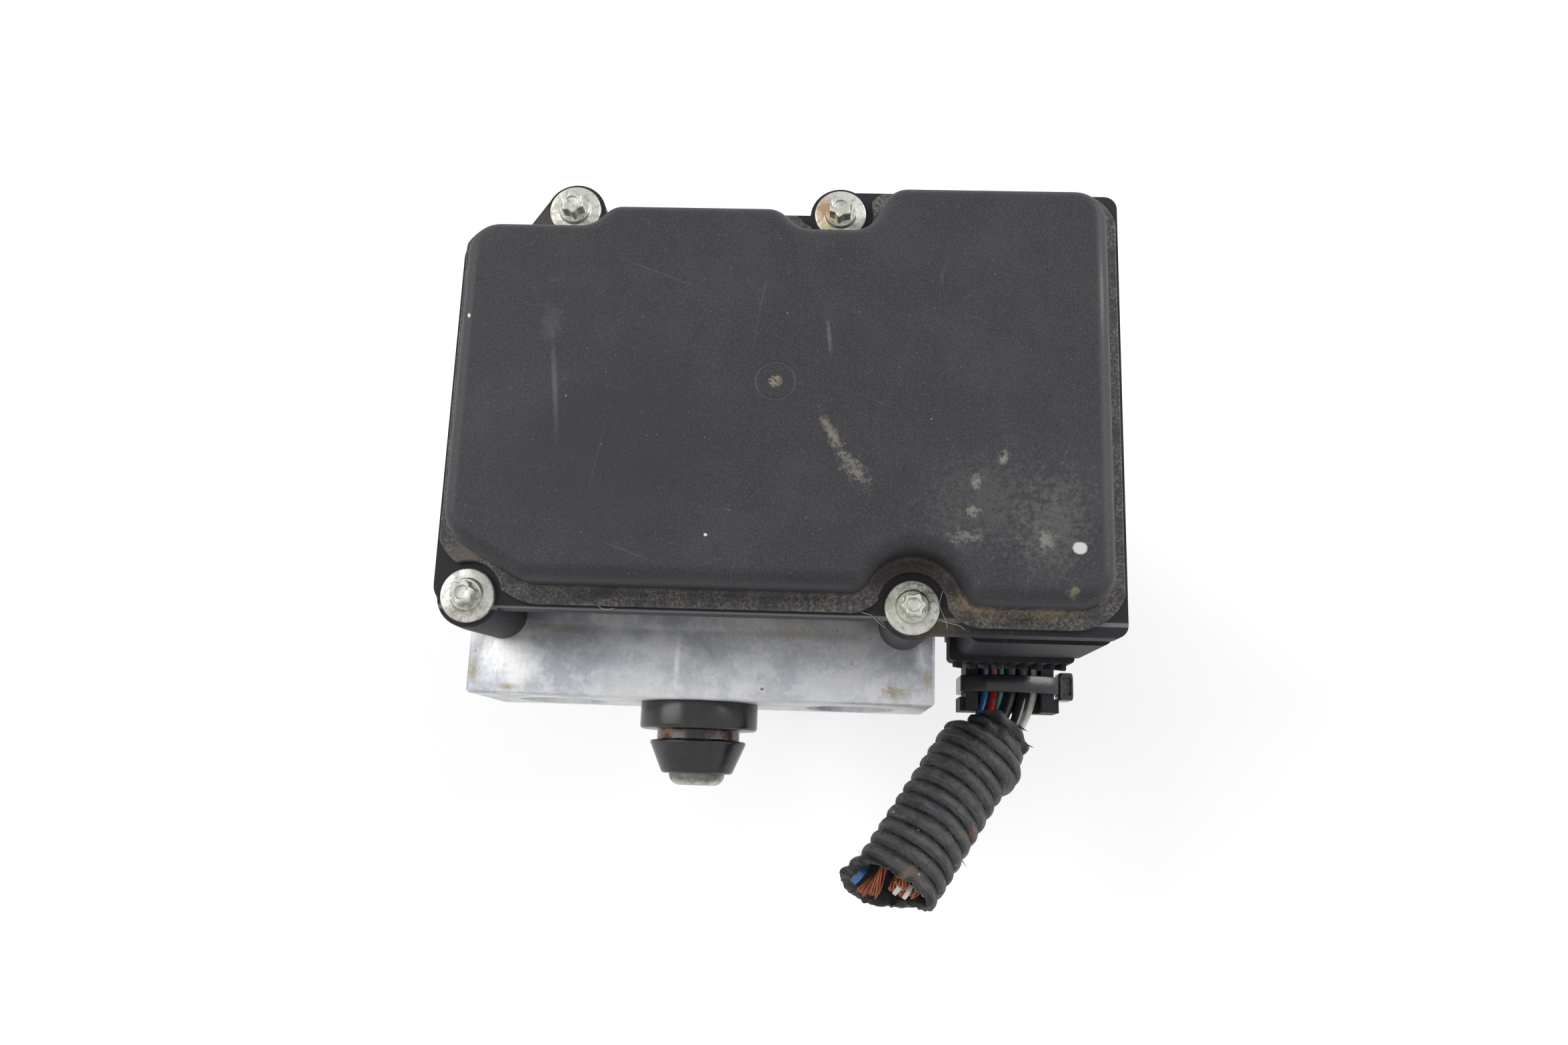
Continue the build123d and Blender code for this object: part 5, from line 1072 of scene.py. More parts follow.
# ---------------------------------------------------------------------------------------------
# Control unit
# ---------------------------------------------------------------------------------------------
@dataclass
class EcuCover:
    """Moulded cover: rim, shelf, raised dome with a soft top edge, and a gate mark in its finish."""

    left: float = -44.8
    right: float = 76.6
    front: float = -31.9
    front_right: float = -34.0
    rear: float = 37.2
    rear_middle: float = 41.2
    rear_right: float = 45.7
    middle_left: float = -19.3
    middle_right: float = 16.5
    right_start: float = 33.7
    corner: float = 6.2
    step_radius: float = 5.0
    step_lean: float = 2.0
    recess_radius: float = 9.3
    recess_blend: float = 3.6
    diagonal: tuple[Point, Point] = ((-44.8, -23.49, 8.0), (-29.43, -31.9, 8.0))
    top_reach: float = 3.1
    top_drop: float = 4.3
    wall: float = 2.2
    rim: float = 3.4
    rim_thick: float = 1.5
    rim_inset: float = 0.7
    edge_radius: float = 0.3
    screw_clear: float = 6.4
    boss_radius: float = 5.9
    foot_radius: float = 0.9
    step: float = 0.42
    flange: tuple[tuple[float, float, float, float], ...] = (
        (-47.75, 80.25, -36.0, 39.3), (-26.2, 26.2, 0.0, 43.5), (26.2, 80.25, 0.0, 48.5), (41.0, 80.25, -38.5, 0.0)
    )

    def recess(self) -> list[Point]:
        """Line round the front right screw: blend arc, concave recess arc, blend arc.

        Each blend's centre lies a blend radius inside the wall, and both radii from the screw.
        """
        screw = np.array(SCREW_PLACES[1])
        reach = self.recess_radius + self.recess_blend
        points = []
        for side, level in ((-1, self.front), (1, self.front_right)):
            drop = level + self.recess_blend - screw[1]
            centre = screw + np.array([side * math.sqrt(reach**2 - drop**2), drop])
            inner = screw - centre
            angles = np.linspace(-math.pi / 2, math.atan2(inner[1], inner[0]), 9)
            arc = centre + self.recess_blend * np.stack([np.cos(angles), np.sin(angles)], axis=1)
            points.append(arc if side < 0 else arc[::-1])
        start, end = points[0][-1] - screw, points[1][0] - screw
        sweep = np.linspace(math.atan2(start[1], start[0]), math.atan2(end[1], end[0]), 26)[1:-1]
        circle = screw + self.recess_radius * np.stack([np.cos(sweep), np.sin(sweep)], axis=1)
        line = np.concatenate([points[0], circle, points[1]])
        return [(float(x), float(y), 0.0) for x, y in line]

    def outline(self) -> Array:
        """Foot of the dome, counter-clockwise, in even steps."""
        lean, levels = self.step_lean, (self.rear_right, self.rear, self.rear_middle, self.rear)
        steps = []
        for x, before, after in zip((self.right_start, self.middle_right, self.middle_left), levels, levels[1:]):
            steps += [(x + lean, before, self.step_radius), (x - lean, after, self.step_radius)]
        corners = [
            *self.diagonal,
            *self.recess(),
            (self.right, self.front_right, self.corner),
            (self.right, self.rear_right, self.corner),
            *steps,
            (self.left, self.rear, self.corner),
        ]
        return even_steps(closed_line(corners), self.step)

    def rim_width(self, line: Array, normal: Array) -> Array:
        """How far the rim reaches out from each point of the dome's foot.

        The rim grows along the normal until it has its full width, comes to the flange's edge, or
        comes to the clearance round a screw.
        """
        widths = np.linspace(0.0, self.rim, 69)
        spots = line[:, None, :] + normal[:, None, :] * widths[None, :, None]
        x, y = spots[..., 0], spots[..., 1]
        inside = np.zeros(x.shape, bool)
        inset = self.rim_inset
        for left, right, front, back in self.flange:
            inside |= (x > left + inset) & (x < right - inset) & (y > front + inset) & (y < back - inset)
        for screw_x, screw_y in SCREW_PLACES:
            away = np.hypot(x - screw_x, y - screw_y)
            inside |= away < self.boss_radius - inset
            inside &= away > self.screw_clear
        reach = np.cumprod(inside, axis=1).sum(axis=1)
        return widths[np.clip(reach - 1, 0, len(widths) - 1)]

    def build(self, palette: Palette) -> None:
        """Makes the cover: a profile of offset and height carried along the dome's foot.

        From the ceiling's edge the profile runs down the inner wall, out under the rim, up and over
        the rim, along the shelf, round the concave foot, up the wall and round the top edge.
        """
        line = self.outline()
        normal = outward(line)
        width = self.rim_width(line, normal)
        foot, edge = np.minimum(self.foot_radius, 0.7 * width), np.minimum(self.edge_radius, 0.3 * width)
        shelf = Z_FLANGE + self.rim_thick
        columns = [(-self.wall, Z_DOME - self.wall), (-self.wall, Z_FLANGE), (width, Z_FLANGE)]
        for angle in np.radians([0, 30, 60, 90]):
            columns.append((width - edge + edge * math.cos(angle), shelf - edge + edge * math.sin(angle)))
        for angle in np.radians([0, 22, 45, 68, 90]):
            columns.append((foot - foot * math.sin(angle), shelf + foot - foot * math.cos(angle)))
        for angle in np.radians(np.linspace(0, 90, 11)):
            drop = self.top_drop * (1.0 - math.sin(angle))
            columns.append((-self.top_reach * (1.0 - math.cos(angle)), Z_DOME - drop))
        offset, height = (np.stack([column[k] + 0.0 * width for column in columns], axis=1) for k in (0, 1))
        flat = line[:, None, :] + normal[:, None, :] * offset[..., None]
        grid = np.concatenate([flat, height[..., None]], axis=2)
        cover = surface("ecu_cover_moulded", grid, Ends.CAPPED, 40.0)
        weighted = cover.modifiers.new("weighted_normals", "WEIGHTED_NORMAL")
        weighted.mode = "FACE_AREA"
        weighted.weight = 80
        weighted.keep_sharp = True
        palette.dress(cover, "cover_plastic", "ecu_cover")


@dataclass
class FlangedScrew:
    """Machine screw with a dished flange and an external six-lobed drive."""

    flange_radius: float = 5.05
    flange_thick: float = 1.3
    collar_radius: float = 2.9
    collar_thick: float = 0.7
    star_radius: float = 2.37
    star_depth: float = 0.525
    star_height: float = 2.6
    shank_radius: float = 2.5
    shank_foot: float = 82.0
    dish_radius: float = 1.35

    def grid(self, x: float, y: float, turn: float) -> Array:
        """Points of one screw.

        The radius at (angle, profile place) blends from a circle to the star: star radius less a
        share of a raised cosine of six times the angle.

        Args:
            x: Place of the axis in millimetres.
            y: Place of the axis in millimetres.
            turn: Turn of the drive in degrees.

        Returns:
            Grid of points.
        """
        plate = Z_FLANGE + self.flange_thick
        neck = plate + self.collar_thick
        head = neck + self.star_height
        corners = [
            (0.0, self.shank_foot, 0.0),
            (self.shank_radius, self.shank_foot, 0.4),
            (self.shank_radius, Z_FLANGE, 0.0),
            (self.flange_radius, Z_FLANGE, 0.0),
            (self.flange_radius, plate - 0.25, 0.35),
            (self.collar_radius + 0.25, plate, 0.25),
            (self.collar_radius, neck, 0.3),
            (self.star_radius + 0.05, neck, 0.12),
            (self.star_radius, head, 0.4),
            (self.dish_radius, head, 0.15),
            (self.dish_radius - 0.2, head - 0.35, 0.2),
            (0.0, head - 0.42, 0.0),
        ]
        radius, height = rounded_line(corners, 5).T[:, None, :]
        starry = np.clip((height - neck + 0.02) / 0.1, 0.0, 1.0) * np.clip((radius - 1.3) / 0.5, 0.0, 1.0)
        angle = spokes(144)
        lobes = (0.5 - 0.5 * np.cos(6 * (angle - math.radians(turn)))) ** 0.8
        radius = radius - self.star_depth * lobes * starry
        points = [x + radius * np.cos(angle), y + radius * np.sin(angle), height + 0.0 * angle]
        return np.stack(points, axis=-1)


@dataclass
class ControlUnit:
    """Cover, its four screws and the housing with the connector socket."""

    screws: tuple[tuple[str, float], ...] = (
        ("front_left", 12.0), ("front_right", 4.0), ("rear_left", 40.0), ("rear_right", 22.0)
    )
    housing_edge: float = 0.28

    def build(self, palette: Palette) -> None:
        """Makes and dresses the pieces. The first screw stands for all four in the frame."""
        EcuCover().build(palette)
        replaced = ("ecu_screws",)
        for (name, turn), (x, y) in zip(self.screws, SCREW_PLACES):
            made = surface(f"cover_screw_{name}", FlangedScrew().grid(x, y, turn), crease=30.0)
            palette.dress(made, "screw_steel", *replaced)
            replaced = ()
        housing = softened("ecu_housing", "ecu_housing_moulded", self.housing_edge)
        palette.dress(housing, "housing_plastic", "ecu_housing")


# ---------------------------------------------------------------------------------------------
# Hydraulic block, motor and rubber mount
# ---------------------------------------------------------------------------------------------
@dataclass
class HydraulicBlock:
    """Machined block with softened edges."""

    edge: float = 0.35

    def build(self, palette: Palette) -> None:
        """Makes and dresses the block."""
        block = softened("hydraulic_block", "hydraulic_block_milled", self.edge, 50.0)
        palette.dress(block, "block_metal", "hydraulic_block")


@dataclass
class PumpMotor:
    """Drawn motor can with softened edges."""

    edge: float = 0.3

    def build(self, palette: Palette) -> None:
        """Makes and dresses the can."""
        palette.dress(softened("motor_can", "motor_can_drawn", self.edge), "can_steel", "motor_can")


@dataclass
class RubberMount:
    """Rubber bush with a bracket groove, on its steel pin."""

    x: float = -1.2
    ring_radius: float = 12.45
    ring_length: float = 5.6
    groove_radius: float = 8.75
    groove_width: float = 2.3
    lip_radius: float = 10.2
    tip_radius: float = 7.4
    length: float = 14.7
    sleeve_radius: float = 5.9
    pin_end: float = 17.1
    stem_radius: float = 4.0
    stem_depth: float = 12.0

    def build(self, palette: Palette) -> None:
        """Makes the bush and the pin as turned profiles of radius and distance from the block."""
        foot = (self.x, FRONT_FACE, Z_PUMP)
        groove_end = self.ring_length + self.groove_width
        bush = rounded_line(
            [
                (self.sleeve_radius, 0.0, 0.0),
                (self.ring_radius, 0.0, 0.2),
                (self.ring_radius, self.ring_length, 0.7),
                (self.groove_radius, self.ring_length, 0.4),
                (self.groove_radius, groove_end, 0.4),
                (self.lip_radius, groove_end, 0.35),
                (self.lip_radius - 0.1, groove_end + 0.6, 0.5),
                (self.tip_radius, self.length, 0.8),
                (self.sleeve_radius, self.length, 0.15),
                (self.sleeve_radius, self.length - 0.6, 0.0),
                (self.sleeve_radius, 0.0, 0.0),
            ]
        )
        in_groove = (bush[:, 1] > self.ring_length - 0.1) & (bush[:, 1] < groove_end + 0.1)
        height = np.where(in_groove & (bush[:, 0] < self.lip_radius - 0.4), 0.0, 1.0)
        made = turned("rubber_bush", bush, foot, height)
        palette.dress(made, "rubber", "rubber_mount", finish="bush_rubber")
        radius = self.sleeve_radius - 0.02
        pin = rounded_line(
            [
                (0.0, -self.stem_depth, 0.0),
                (self.stem_radius, -self.stem_depth, 0.6),
                (self.stem_radius, 0.0, 0.0),
                (radius, 0.0, 0.0),
                (radius, self.pin_end, 2.3),
                (0.0, self.pin_end, 0.0),
            ]
        )
        palette.dress(turned("bush_pin", pin, foot), "screw_steel", "mount_stud")


@dataclass
class AccumulatorSprings:
    """Coil springs behind the accumulator pistons, which close up as the pistons move out."""

    spacing: float = 62.0
    z: float = 74.5
    radius: float = 5.8
    wire: float = 0.75
    turns: float = 5.0
    foot: float = -45.4
    length: float = 19.5
    stroke: float = 8.0

    def build(self, palette: Palette) -> None:
        """Makes both springs: round wire along the helix (r cos a, rise a, r sin a)."""
        turn = np.linspace(0.0, self.turns * TAU, 241)[None, :, None]
        spin = spokes(14)[..., None]
        rise = (self.length - 2 * self.wire) / (self.turns * TAU)
        out = np.concatenate([np.cos(turn), 0.0 * turn, np.sin(turn)], axis=2)
        way = np.concatenate([-self.radius * np.sin(turn), rise + 0.0 * turn, self.radius * np.cos(turn)], axis=2)
        over = np.cross(out, way / np.linalg.norm(way, axis=2, keepdims=True))
        wound = self.radius * out + np.array([0.0, rise, 0.0]) * turn
        grid = wound + self.wire * (out * np.cos(spin) + over * np.sin(spin)) + np.array([0.0, self.wire, 0.0])
        for side, x in (("left", -self.spacing / 2), ("right", self.spacing / 2)):
            foot = (x, self.foot, self.z)
            spring = surface(f"{side}_accumulator_coil", grid + np.array(foot), Ends.CAPPED, 40.0)
            palette.dress(spring, "steel", f"{side}_accumulator_spring")
            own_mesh(spring)


# ---------------------------------------------------------------------------------------------
# Harness
# ---------------------------------------------------------------------------------------------
@dataclass(frozen=True)
class WireRoute:
    """One wire of the harness.

    Attributes:
        node: CAD node that it stands for.
        colour: Colour of its insulation.
        radius: Radius of its insulation in millimetres.
        x: Its place across the trough in millimetres.
        length: Its length in metres; not used.
        tip: Place that its bared strands reach.
        in_loom: The points that it follows inside the loom.
        bed: Y and Z of the points from the plug to the loom.
    """

    node: str
    colour: str
    radius: float
    x: float
    length: float
    tip: Point
    in_loom: tuple[Point, ...]
    bed: tuple[Flat, ...] = ((-26.0, 82.0), (-26.0, 76.5), (-28.5, 72.0), (-33.0, 69.2), (-40.0, 68.0), (-47.0, 67.9))

    def points(self) -> list[Point]:
        """The route's points: out of the plug, round into the trough and along the loom."""
        return [(self.x, y, z) for y, z in self.bed] + list(self.in_loom)


WIRES = (
    WireRoute(
        "blue_wire", "blue", 0.90, 61.0, 0.0733, (33.6, -87.9, 78.9),
        ((57.6, -54.5, 69.8), (51.5, -63.0, 72.0), (44.5, -73.5, 75.0), (38.5, -83.0, 77.8)),
    ),
    WireRoute(
        "red_wire", "red", 0.90, 62.9, 0.0745, (36.4, -88.5, 79.7),
        ((59.5, -54.5, 72.2), (53.0, -62.6, 75.0), (45.3, -72.8, 78.0), (38.5, -82.2, 80.5)),
    ),
    WireRoute(
        "teal_wire", "teal", 0.70, 64.6, 0.0764, (42.6, -88.3, 77.2),
        ((59.8, -56.0, 65.9), (54.3, -65.8, 68.7), (48.2, -76.6, 72.8), (42.5, -86.3, 76.7)),
    ),
    WireRoute(
        "left_black_wire", "black", 1.30, 66.7, 0.0764, (40.8, -87.4, 80.0),
        ((61.4, -56.8, 69.3), (55.3, -65.0, 72.6), (48.0, -75.2, 76.4), (41.7, -84.4, 80.0)),
    ),
    WireRoute(
        "right_black_wire", "black", 1.30, 69.4, 0.0781, (41.4, -86.0, 83.9),
        ((65.0, -57.0, 71.3), (58.0, -65.6, 75.3), (50.0, -75.2, 79.8), (42.8, -84.0, 83.6)),
    ),
    WireRoute(
        "white_wire", "white", 0.80, 71.8, 0.0796, (43.6, -87.6, 81.4),
        ((65.6, -58.6, 67.7), (59.0, -67.7, 71.8), (52.0, -77.6, 77.0), (45.6, -86.4, 81.6)),
    ),
)


@dataclass
class Loom:
    """Taped conduit with its wires, torn at the mouth and cut off raggedly at the far end."""

    start: Point = (61.9, -54.2, 67.8)
    end: Point = (40.2, -86.6, 80.0)
    radius: float = 9.4
    bore: float = 7.7
    mouth_radius: float = 7.3
    mouth_shift: float = 1.5
    ridges: float = 12.0
    ridge_depth: float = 0.95
    around: int = 288
    along: int = 420
    torn_threads: tuple[tuple[float, float, Point, float, float], ...] = (
        (-2.2, 1.15, (0.9, 0.3, 0.55), 2.2, 0.55),
        (-1.2, 0.55, (1.0, -0.15, 0.2), 1.4, 0.4),
        (26.4, -0.12, (0.75, 0.35, -0.1), 2.1, 0.3),
        (27.4, -0.2, (0.9, -0.1, -0.1), 1.2, 0.25),
    )
    end_threads: tuple[tuple[float, float, Point, float, float], ...] = (
        (-1.6, 2.75, (-0.9, 0.2, 0.5), 3.0, 0.09),
        (-1.4, 2.6, (-0.6, 0.5, 0.7), 2.4, 0.07),
        (-1.3, 2.95, (-0.8, -0.2, 0.2), 1.6, 0.12),
    )

    def axes(self) -> tuple[Array, Array, Array, Array, float]:
        """Start, direction, level side, upper side and length of the conduit."""
        start, end = np.array(self.start), np.array(self.end)
        way, side, up = run_axes(start, end)
        return start, way, -side, up, float(np.linalg.norm(end - start))

    def mouth(self, place: Array) -> Array:
        """Share from 0 to 1 by which the tape has drawn in at a distance along the conduit."""
        share = np.clip((4.2 - place) / 3.6, 0.0, 1.0)
        return share * share * (3.0 - 2.0 * share)

    def wall(self) -> tuple[Array, Array]:
        """Outer surface as (radius, distance along) at each angle and step, and its height mask.

        Ridges: the arc of |sin| of a phase that grows along the conduit and once round it, so that
        they climb like wound tape. Their depth, width and phase wander with slow waves round and
        along. Overlaps add small steps, and pleats draw the mouth together.
        """
        length = self.axes()[-1]
        angle, share = spokes(self.around), np.linspace(0.0, 1.0, self.along)[None, :]
        first = -1.6 - 1.5 * np.cos(angle - 1.9) ** 3 + 0.5 * waves(angle, 5, 5, 2, 9)
        last = length - 0.9 + 0.5 * np.cos(angle - 2.6) + 0.55 * waves(angle, 11, 7, 2, 14)
        last = last + 0.35 * waves(angle, 12, 6, 15, 40) + 4.8 * np.clip(np.cos(angle - 3.98), 0.0, 1.0) ** 1.2
        place = first + (last - first) * share
        unit = place / length * TAU
        drift = 0.16 * waves(unit + 0.0 * angle, 3, 4, 1, 4) + 0.10 * waves(angle + 0.35 * unit, 4, 4, 1, 3)
        phase = self.ridges * place / length + angle / TAU + drift
        ridge = np.abs(np.sin(math.pi * phase)) ** 0.55
        depth = self.ridge_depth * (1.0 + 0.4 * waves(angle + 0.8 * unit, 6, 5, 1, 5))
        second = np.abs(np.sin(math.pi * (2.0 * phase + 0.3 + 0.3 * np.sin(angle)))) ** 0.5
        fold = 0.16 * (1.0 - second) * np.clip(waves(angle * 2 + unit, 8, 4, 1, 4) + 0.3, 0.0, 1.0)
        crumple = 0.10 * waves(angle * 3 + 5 * unit, 9, 8, 3, 16)
        mouth = self.mouth(place)
        pleats = mouth * (0.28 * np.sin(9 * angle + 1.1 * place) + 0.2 * waves(angle, 10, 5, 3, 12))
        radius = self.radius - 0.10 - depth * (1.0 - ridge) - fold + crumple
        radius = radius - (self.radius - self.mouth_radius) * mouth + pleats
        right = np.clip(np.cos(angle - 0.2), 0.0, 1.0) ** 2
        left = np.clip(-np.cos(angle + 0.1), 0.0, 1.0) ** 2
        radius = radius + 1.5 * right * np.exp(-(((place - 6.5) / 2.8) ** 2))
        radius = radius + 1.7 * left * np.clip((place - last + 5.0) / 5.0, 0.0, 1.0) ** 1.6
        frayed = np.clip((place - last + 1.4) / 1.4, 0.0, 1.0)
        radius = radius - 0.35 * frayed * (0.5 + 0.5 * waves(angle, 13, 6, 4, 22))
        height = np.clip(ridge - 0.9 * (1.0 - second) * 0.4, 0.0, 1.0) * (1.0 - 0.5 * frayed)
        return np.stack([radius, place], axis=-1), height

    def build(self, palette: Palette) -> None:
        """Makes the conduit: outer surface, cut edge, bore and torn mouth as one closed tube."""
        start, way, side, up, _ = self.axes()
        outer, height = self.wall()
        angle = spokes(self.around)
        edge_radius = outer[:, -1:, 0] - 0.9 + 0.2 * waves(angle, 21, 6, 3, 20)
        edge_in = np.stack([edge_radius, outer[:, -1:, 1] - 0.05], axis=-1)
        deep = np.linspace(0.02, 1.0, 40)[None, :]
        bore_place = outer[:, -1:, 1] + (outer[:, :1, 1] - outer[:, -1:, 1]) * deep
        ring = 0.18 * np.sin(bore_place * TAU / 3.4)
        bore_radius = np.minimum(self.bore + ring, self.bore - 1.3 * self.mouth(bore_place))
        wall = np.concatenate([outer, edge_in, np.stack([bore_radius, bore_place], axis=-1)], axis=1)
        # The bore gets height 0 and the cut edge 0.25, so they take the tape's painted groove shade.
        mask = np.concatenate([height, 0.25 + 0.0 * angle, 0.0 * bore_radius], axis=1)
        radius, place = wall[..., 0:1], wall[..., 1:2]
        grid = start + way * place + radius * (side * np.cos(angle)[..., None] + up * np.sin(angle)[..., None])
        grid = grid + self.mouth_shift * side * self.mouth(place)
        sleeve = surface("loom_taped_sleeve", grid, Ends.JOINED, 60.0, mask)
        palette.dress(sleeve, "tape", "loom_sleeve")
        self.build_threads(palette)

    def build_threads(self, palette: Palette) -> None:
        """Makes torn threads and tape spikes: thin tapering tubes bent along a parabola."""
        start, way, side, up, length = self.axes()
        threads = self.torn_threads + tuple((length + back, *rest) for back, *rest in self.end_threads)
        t, angle = shares(9), spokes(8)[..., None]
        grids = []
        for place, turn, lean, reach, thick in threads:
            out = side * math.cos(turn) + up * math.sin(turn)
            root = start + way * place + (self.radius - 0.7) * out
            aim = side * lean[0] + way * lean[1] + up * lean[2]
            aim /= np.linalg.norm(aim)
            across = np.cross(aim, way)
            across /= np.linalg.norm(across)
            ring = across * np.cos(angle) + 0.45 * np.cross(aim, across) * np.sin(angle)
            line = root + aim * reach * t + out * 0.25 * reach * t**2
            grids.append(line + ring * thick * (1.0 - 0.96 * t))
        made = bundle("loom_torn_threads", grids)
        keep_height(made, np.full(len(made.data.vertices), 0.5))
        palette.dress(made, "tape")


@dataclass
class Harness:
    """Six wires out of the plug, their bared and slit ends, the taped loom and lint near it."""

    strand_count: int = 13
    strand_share: float = 0.22
    fibre_radius: float = 0.045
    flaps: tuple[tuple[str, Point, Point, float], ...] = (
        ("blue_slit_end", (34.9, -82.2, 78.8), (32.2, -85.6, 79.6), 1.7),
        ("white_slit_end", (42.6, -84.6, 82.6), (40.6, -87.4, 81.6), 1.1),
        ("white_torn_end", (44.2, -85.4, 82.4), (42.6, -88.2, 81.2), 1.0),
    )
    fibres: tuple[tuple[Point, Point, float], ...] = (
        ((34.0, -36.2, 118.2), (39.4, -37.6, 115.6), 0.5),
        ((31.6, -34.9, 118.9), (36.2, -37.0, 117.9), -0.3),
        ((37.4, -37.4, 117.5), (42.6, -39.0, 116.8), 0.7),
        ((46.4, -30.6, 119.4), (47.4, -37.6, 118.8), 0.6),
        ((44.9, -36.0, 118.9), (50.6, -37.9, 118.8), -0.5),
        ((-18.0, -34.6, 119.0), (-13.6, -35.8, 118.9), 0.4),
        ((57.0, -37.2, 118.9), (62.5, -36.4, 118.9), 0.35),
    )

    def build(self, palette: Palette) -> None:
        """Makes the bared ends, the wires, the slit ends, the loom and the lint."""
        for route in WIRES:
            self.build_wire(route, palette, self.build_strands(route, palette))
        for name, start, end, width in self.flaps:
            self.build_flap(name, np.array(start), np.array(end), width, palette)
        Loom().build(palette)
        self.build_lint(palette)

    def build_wire(self, route: WireRoute, palette: Palette, ends: Object) -> None:
        """Makes one wire as a round curve on its route's points.

        Args:
            route: Its sizes and points.
            palette: The unit's materials.
            ends: Piece that holds its bared copper end; not used.
        """
        points = route.points()
        data = bpy.data.curves.new(f"{route.node}_insulated", "CURVE")
        data.dimensions = "3D"
        data.bevel_depth = route.radius * MM
        data.bevel_resolution = 5
        data.resolution_u = 10
        data.use_fill_caps = True
        spline = data.splines.new("NURBS")
        spline.points.add(len(points) - 1)
        spline.points.foreach_set("co", [n for x, y, z in points for n in (x * MM, y * MM, z * MM, 1.0)])
        spline.order_u = 3
        spline.use_endpoint_u = True
        wire = palette.dress(placed(data.name, data), f"{route.colour}_insulation", route.node)

    def build_strands(self, route: WireRoute, palette: Palette) -> Object:
        """Makes a wire's bared end: strands that twist and splay on their way to the loom's mouth.

        Each strand is a thin tube about a line from the insulation to the strand's tip. The line
        turns about the wire and widens as it moves out. One lies in the middle, four round it and
        the rest outside them.

        Args:
            route: The wire's sizes and points.
            palette: The unit's materials.

        Returns:
            The piece that holds the strands.
        """
        last, tip = np.array(route.in_loom[-1]), np.array(route.tip)
        way, side, up = run_axes(last, tip)
        t, angle = shares(14), spokes(8)[..., None]
        close = 1.0 - 0.999 * (t > 0.999)
        ring = self.strand_share * route.radius * close * (side * np.cos(angle) + up * np.sin(angle))
        grids = []
        for index in range(self.strand_count):
            arm = (0.0 if index == 0 else 0.45 if index < 5 else 0.82) * route.radius
            spin = index * TAU / 4.3 + 1.6 * t
            reach = np.linalg.norm(tip - last) * (0.92 + 0.10 * math.sin(2.3 * index + route.x))
            line = way * (reach * t - 0.5 * (1 - t)) + up * 0.5 * np.sin(math.pi * t)
            splay = arm * (1 + 0.3 * t**2) * (side * np.cos(spin) + up * np.sin(spin))
            grids.append(last + line + splay + ring)
        return palette.dress(bundle(f"{route.node}_strands", grids), "copper", finish="bared_strands")

    def build_flap(self, name: str, first: Array, last: Array, width: float, palette: Palette) -> None:
        """Makes a slit and flattened bit of insulation that sticks out of the loom.

        It is a thin shell whose section is an open arc of an ellipse, bent up along its length.

        Args:
            name: Its name, which starts with its colour.
            first: Its root in millimetres.
            last: Its tip in millimetres.
            width: Its width in millimetres.
            palette: The unit's materials.
        """
        _, side, up = run_axes(first, last)
        t = shares(12)
        across, over = box_line(1.0, 0.16, 0.12).T[:, :, None, None]
        wide = width / 2 * (0.75 + 0.25 * np.sin(2.6 * t + 0.4))
        centre = first + (last - first) * t + up * 0.5 * np.sin(math.pi * t)
        grid = centre + side * wide * across + up * wide * (over * 1.6 + 0.55 * across**2)
        palette.dress(surface(name, grid, Ends.CAPPED), name.split("_")[0] + "_insulation")

    def build_lint(self, palette: Palette) -> None:
        """Makes lint caught round the front right screw and along the housing's edge.

        Each fibre is a thin tube along a line that sags as a sine and curls as a slow wave.
        """
        t, angle = shares(20), spokes(6)[..., None]
        close = 1.0 - 0.999 * ((t < 0.001) | (t > 0.999))
        grids = []
        for start, end, bow in self.fibres:
            first, last = np.array(start), np.array(end)
            _, side, up = run_axes(first, last)
            curl = side * bow * (np.sin(math.pi * t) + 0.4 * np.sin(7.0 * t + bow * 9.0))
            ring = self.fibre_radius * close * (side * np.cos(angle) + up * np.sin(angle))
            grids.append(first + (last - first) * t + curl + ring)
        palette.dress(bundle("lint_fibres", grids), "white_insulation")


